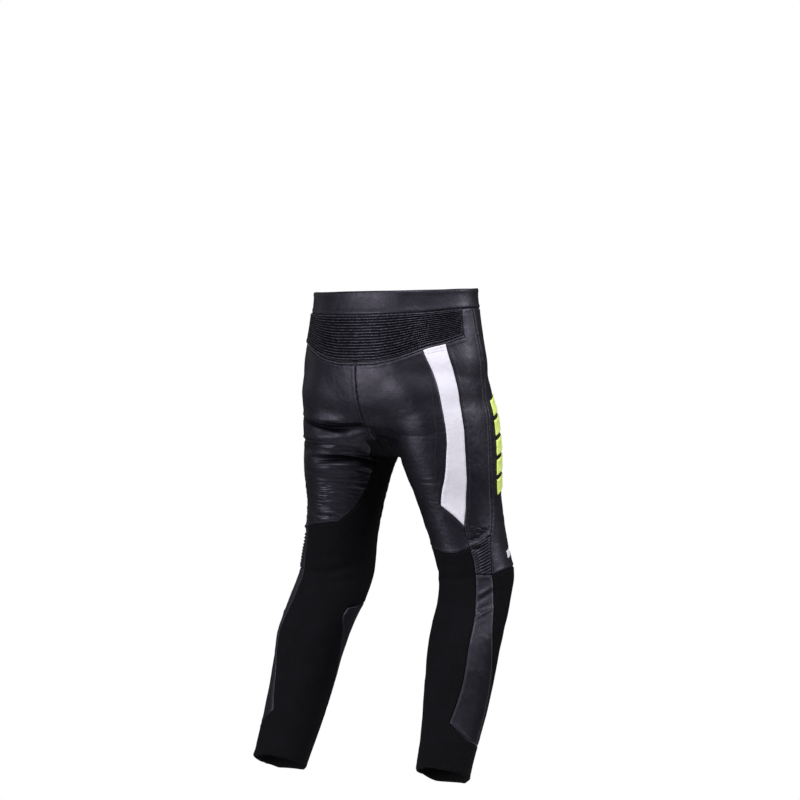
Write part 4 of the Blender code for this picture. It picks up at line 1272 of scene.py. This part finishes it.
def studio():
    """A pale floor, and a white room that lights dark things only a little."""
    floor = bpy.data.meshes.new("floor")
    ring = [2 * math.pi * k / FLOOR_SIDES for k in range(FLOOR_SIDES)]
    floor.from_pydata([(FLOOR_RADIUS * math.cos(a), FLOOR_RADIUS * math.sin(a), FLOOR)
                       for a in ring], [], [tuple(range(FLOOR_SIDES))])
    finish = Finish("pale_floor", Roughness=0.9, Specular_IOR_Level=0.1)
    floor.materials.append(
        finish.done(finish.mixed(finish.noise(0.5), (0.80, 0.80, 0.80), (0.83, 0.83, 0.83))))
    placed("floor", floor)
    world = bpy.data.worlds.new("studio")
    world.use_nodes = True
    bpy.context.scene.world = world
    tree = world.node_tree
    back = tree.nodes["Background"]
    back.inputs["Color"].default_value = (1, 1, 1, 1)
    path = tree.nodes.new("ShaderNodeLightPath")
    seen = tree.nodes.new("ShaderNodeMapRange")
    seen.inputs["To Min"].default_value = ROOM_LIGHT
    seen.inputs["To Max"].default_value = ROOM_SEEN
    tree.links.new(path.outputs["Is Camera Ray"], seen.inputs["Value"])
    tree.links.new(seen.outputs["Result"], back.inputs["Strength"])
    bpy.context.scene.view_settings.view_transform = "Standard"


# ---- All together -----------------------------------------------------------------------------

# The pieces that both legs have: step between the fine cells, slot, flat size and area of the cut.
PAIRED = (
    ("side", SIDE_PANEL, 1, "black_leather", (0.088, 0.440), 0.0277),
    ("front", FRONT_PANEL, 1, "black_leather", (0.270, 0.510), 0.1140),
    ("inner_textile", INNER_PANEL, 2, "stretch_textile", (0.340, 0.660), 0.1100),
    ("outer_calf", CALF_PANEL, 1, "black_leather", (0.095, 0.310), 0.0190),
    ("knee_panel", KNEE_PANEL, 2, "knee_loop_textile", (0.200, 0.320), 0.0510),
    ("inner_patch", INNER_PATCH, 1, "black_leather", (0.080, 0.210), 0.0099),
)
SEAT_CUT = {"left": ((0.240, 0.360), 0.0625), "right": ((0.200, 0.390), 0.0550)}
KNEE_CUT = {"left": ((0.045, 0.085), 0.0035), "right": ((0.045, 0.074), 0.0028)}

# Colours, as dark and pale, and for the leathers as rubbed.
BLACK = ((0.0034, 0.0032, 0.0050), (0.0056, 0.0053, 0.0080))
WHITE = ((0.74, 0.73, 0.78), (0.78, 0.77, 0.82), (0.63, 0.62, 0.66))
NEON = ((0.77, 0.97, 0.20), (0.82, 0.99, 0.25), (0.70, 0.90, 0.20))
HIDE = ((0.020, 0.019, 0.020), (0.034, 0.032, 0.033))
STRETCH = ((0.0014, 0.0013, 0.0022), (0.0024, 0.0022, 0.0036))
LINING = ((0.0022, 0.0022, 0.0030), (0.0036, 0.0036, 0.0046))
LOOPS = ((0.0020, 0.0020, 0.0026), (0.0050, 0.0050, 0.0062))
THREADS = (
    ("stitches_dark", STITCHES, "dark_thread", (0.016, 0.016, 0.020), (0.030, 0.030, 0.036),
     "black_leather"),
    ("stitches_paler", PALER_STITCHES, "paler_thread", (0.085, 0.083, 0.100),
     (0.150, 0.147, 0.170), "black_leather"),
    ("stitches_stripe", STRIPE_STITCHES, "grey_thread", (0.30, 0.29, 0.33), (0.42, 0.41, 0.46),
     "white_leather"),
)


def cloths():
    """By slot: the thickness of each cloth, its outer and its inner side."""
    hide = looped("leather_inside", *HIDE, 0.0012, 0.0002)
    lining = woven("textile_inside", *LINING, 0.0016, 0.00012, Specular_IOR_Level=0.2)
    stretch = woven("stretch_textile", *STRETCH, 0.0011, 0.00010, Specular_IOR_Level=0.12)
    loops = looped("knee_loop_textile", *LOOPS, 0.0016, 0.00060, Specular_IOR_Level=0.1)
    return {
        # The black leather's third colour is the paler one at edges and ridges: rubbing at edges,
        # and on ridges partly a painted highlight.
        "black_leather": (LEATHER, grained("black_leather", *BLACK, (0.026, 0.025, 0.033), 0.42),
                          hide),
        "white_leather": (LEATHER, grained("white_leather", *WHITE, 0.42, 0.7), hide),
        "neon_leather": (LEATHER, grained("neon_leather", *NEON, 0.42, 0.7), hide),
        "stretch_textile": (STRETCH_CLOTH, stretch, lining),
        "knee_loop_textile": (LEATHER, loops, lining),
    }


def trousers():
    shell("waistband", [patch for side in SIDES for patch in plain(side, WAISTBAND, 1)],
          "black_leather", (0.920, 0.042))
    # The back yoke's leather has a much paler crest colour and lower roughness than the black
    # leather: its pale rib crests are a painted highlight.
    shell("back_yoke",
          [ribbed(side, "waist_seam", "yoke_seam", "rise_back", "yoke_end", YOKE_RIBS, YOKE_BAND)
           for side in SIDES],
          "black_leather", (0.460, 0.110), 0.0460, ribs=YOKE_RIB,
          finish=grained("ribbed_leather_painted_crest_highlight", *BLACK, (0.120, 0.117, 0.138), 0.34))
    for side in SIDES:
        shell(f"seat_{side}", plain(side, SEAT_PANEL[side], 1), "black_leather", *SEAT_CUT[side])
        for name, regions, step, slot, flat, area in PAIRED:
            shell(f"{name}_{side}", plain(side, regions, step), slot, flat, area)
        shell(f"knee_accordion_{side}",
              [ribbed(side, "seat_end", "knee", "outer_back", "outer_front", KNEE_RIBS, 0.0,
                      KNEE_TILT)],
              "black_leather", *KNEE_CUT[side], ribs=KNEE_RIB, ribs_from=KNEE_RIBS_FROM)
    shell("stripe_right", plain("right", STRIPE, 1), "white_leather", (0.058, 0.340), 0.0139)
    fly_placket()
    waist_tab()
    waist_snap(polished("snap_metal", (0.34, 0.34, 0.36), 0.30))
    flash_bars()
    knee_mark()
    for name, seams, thread, dark, pale, slot in THREADS:
        stitches(name, seams, cotton(thread, dark, pale), slot)


camera()
studio()
softboxes()
CLOTHS = cloths()
trousers()
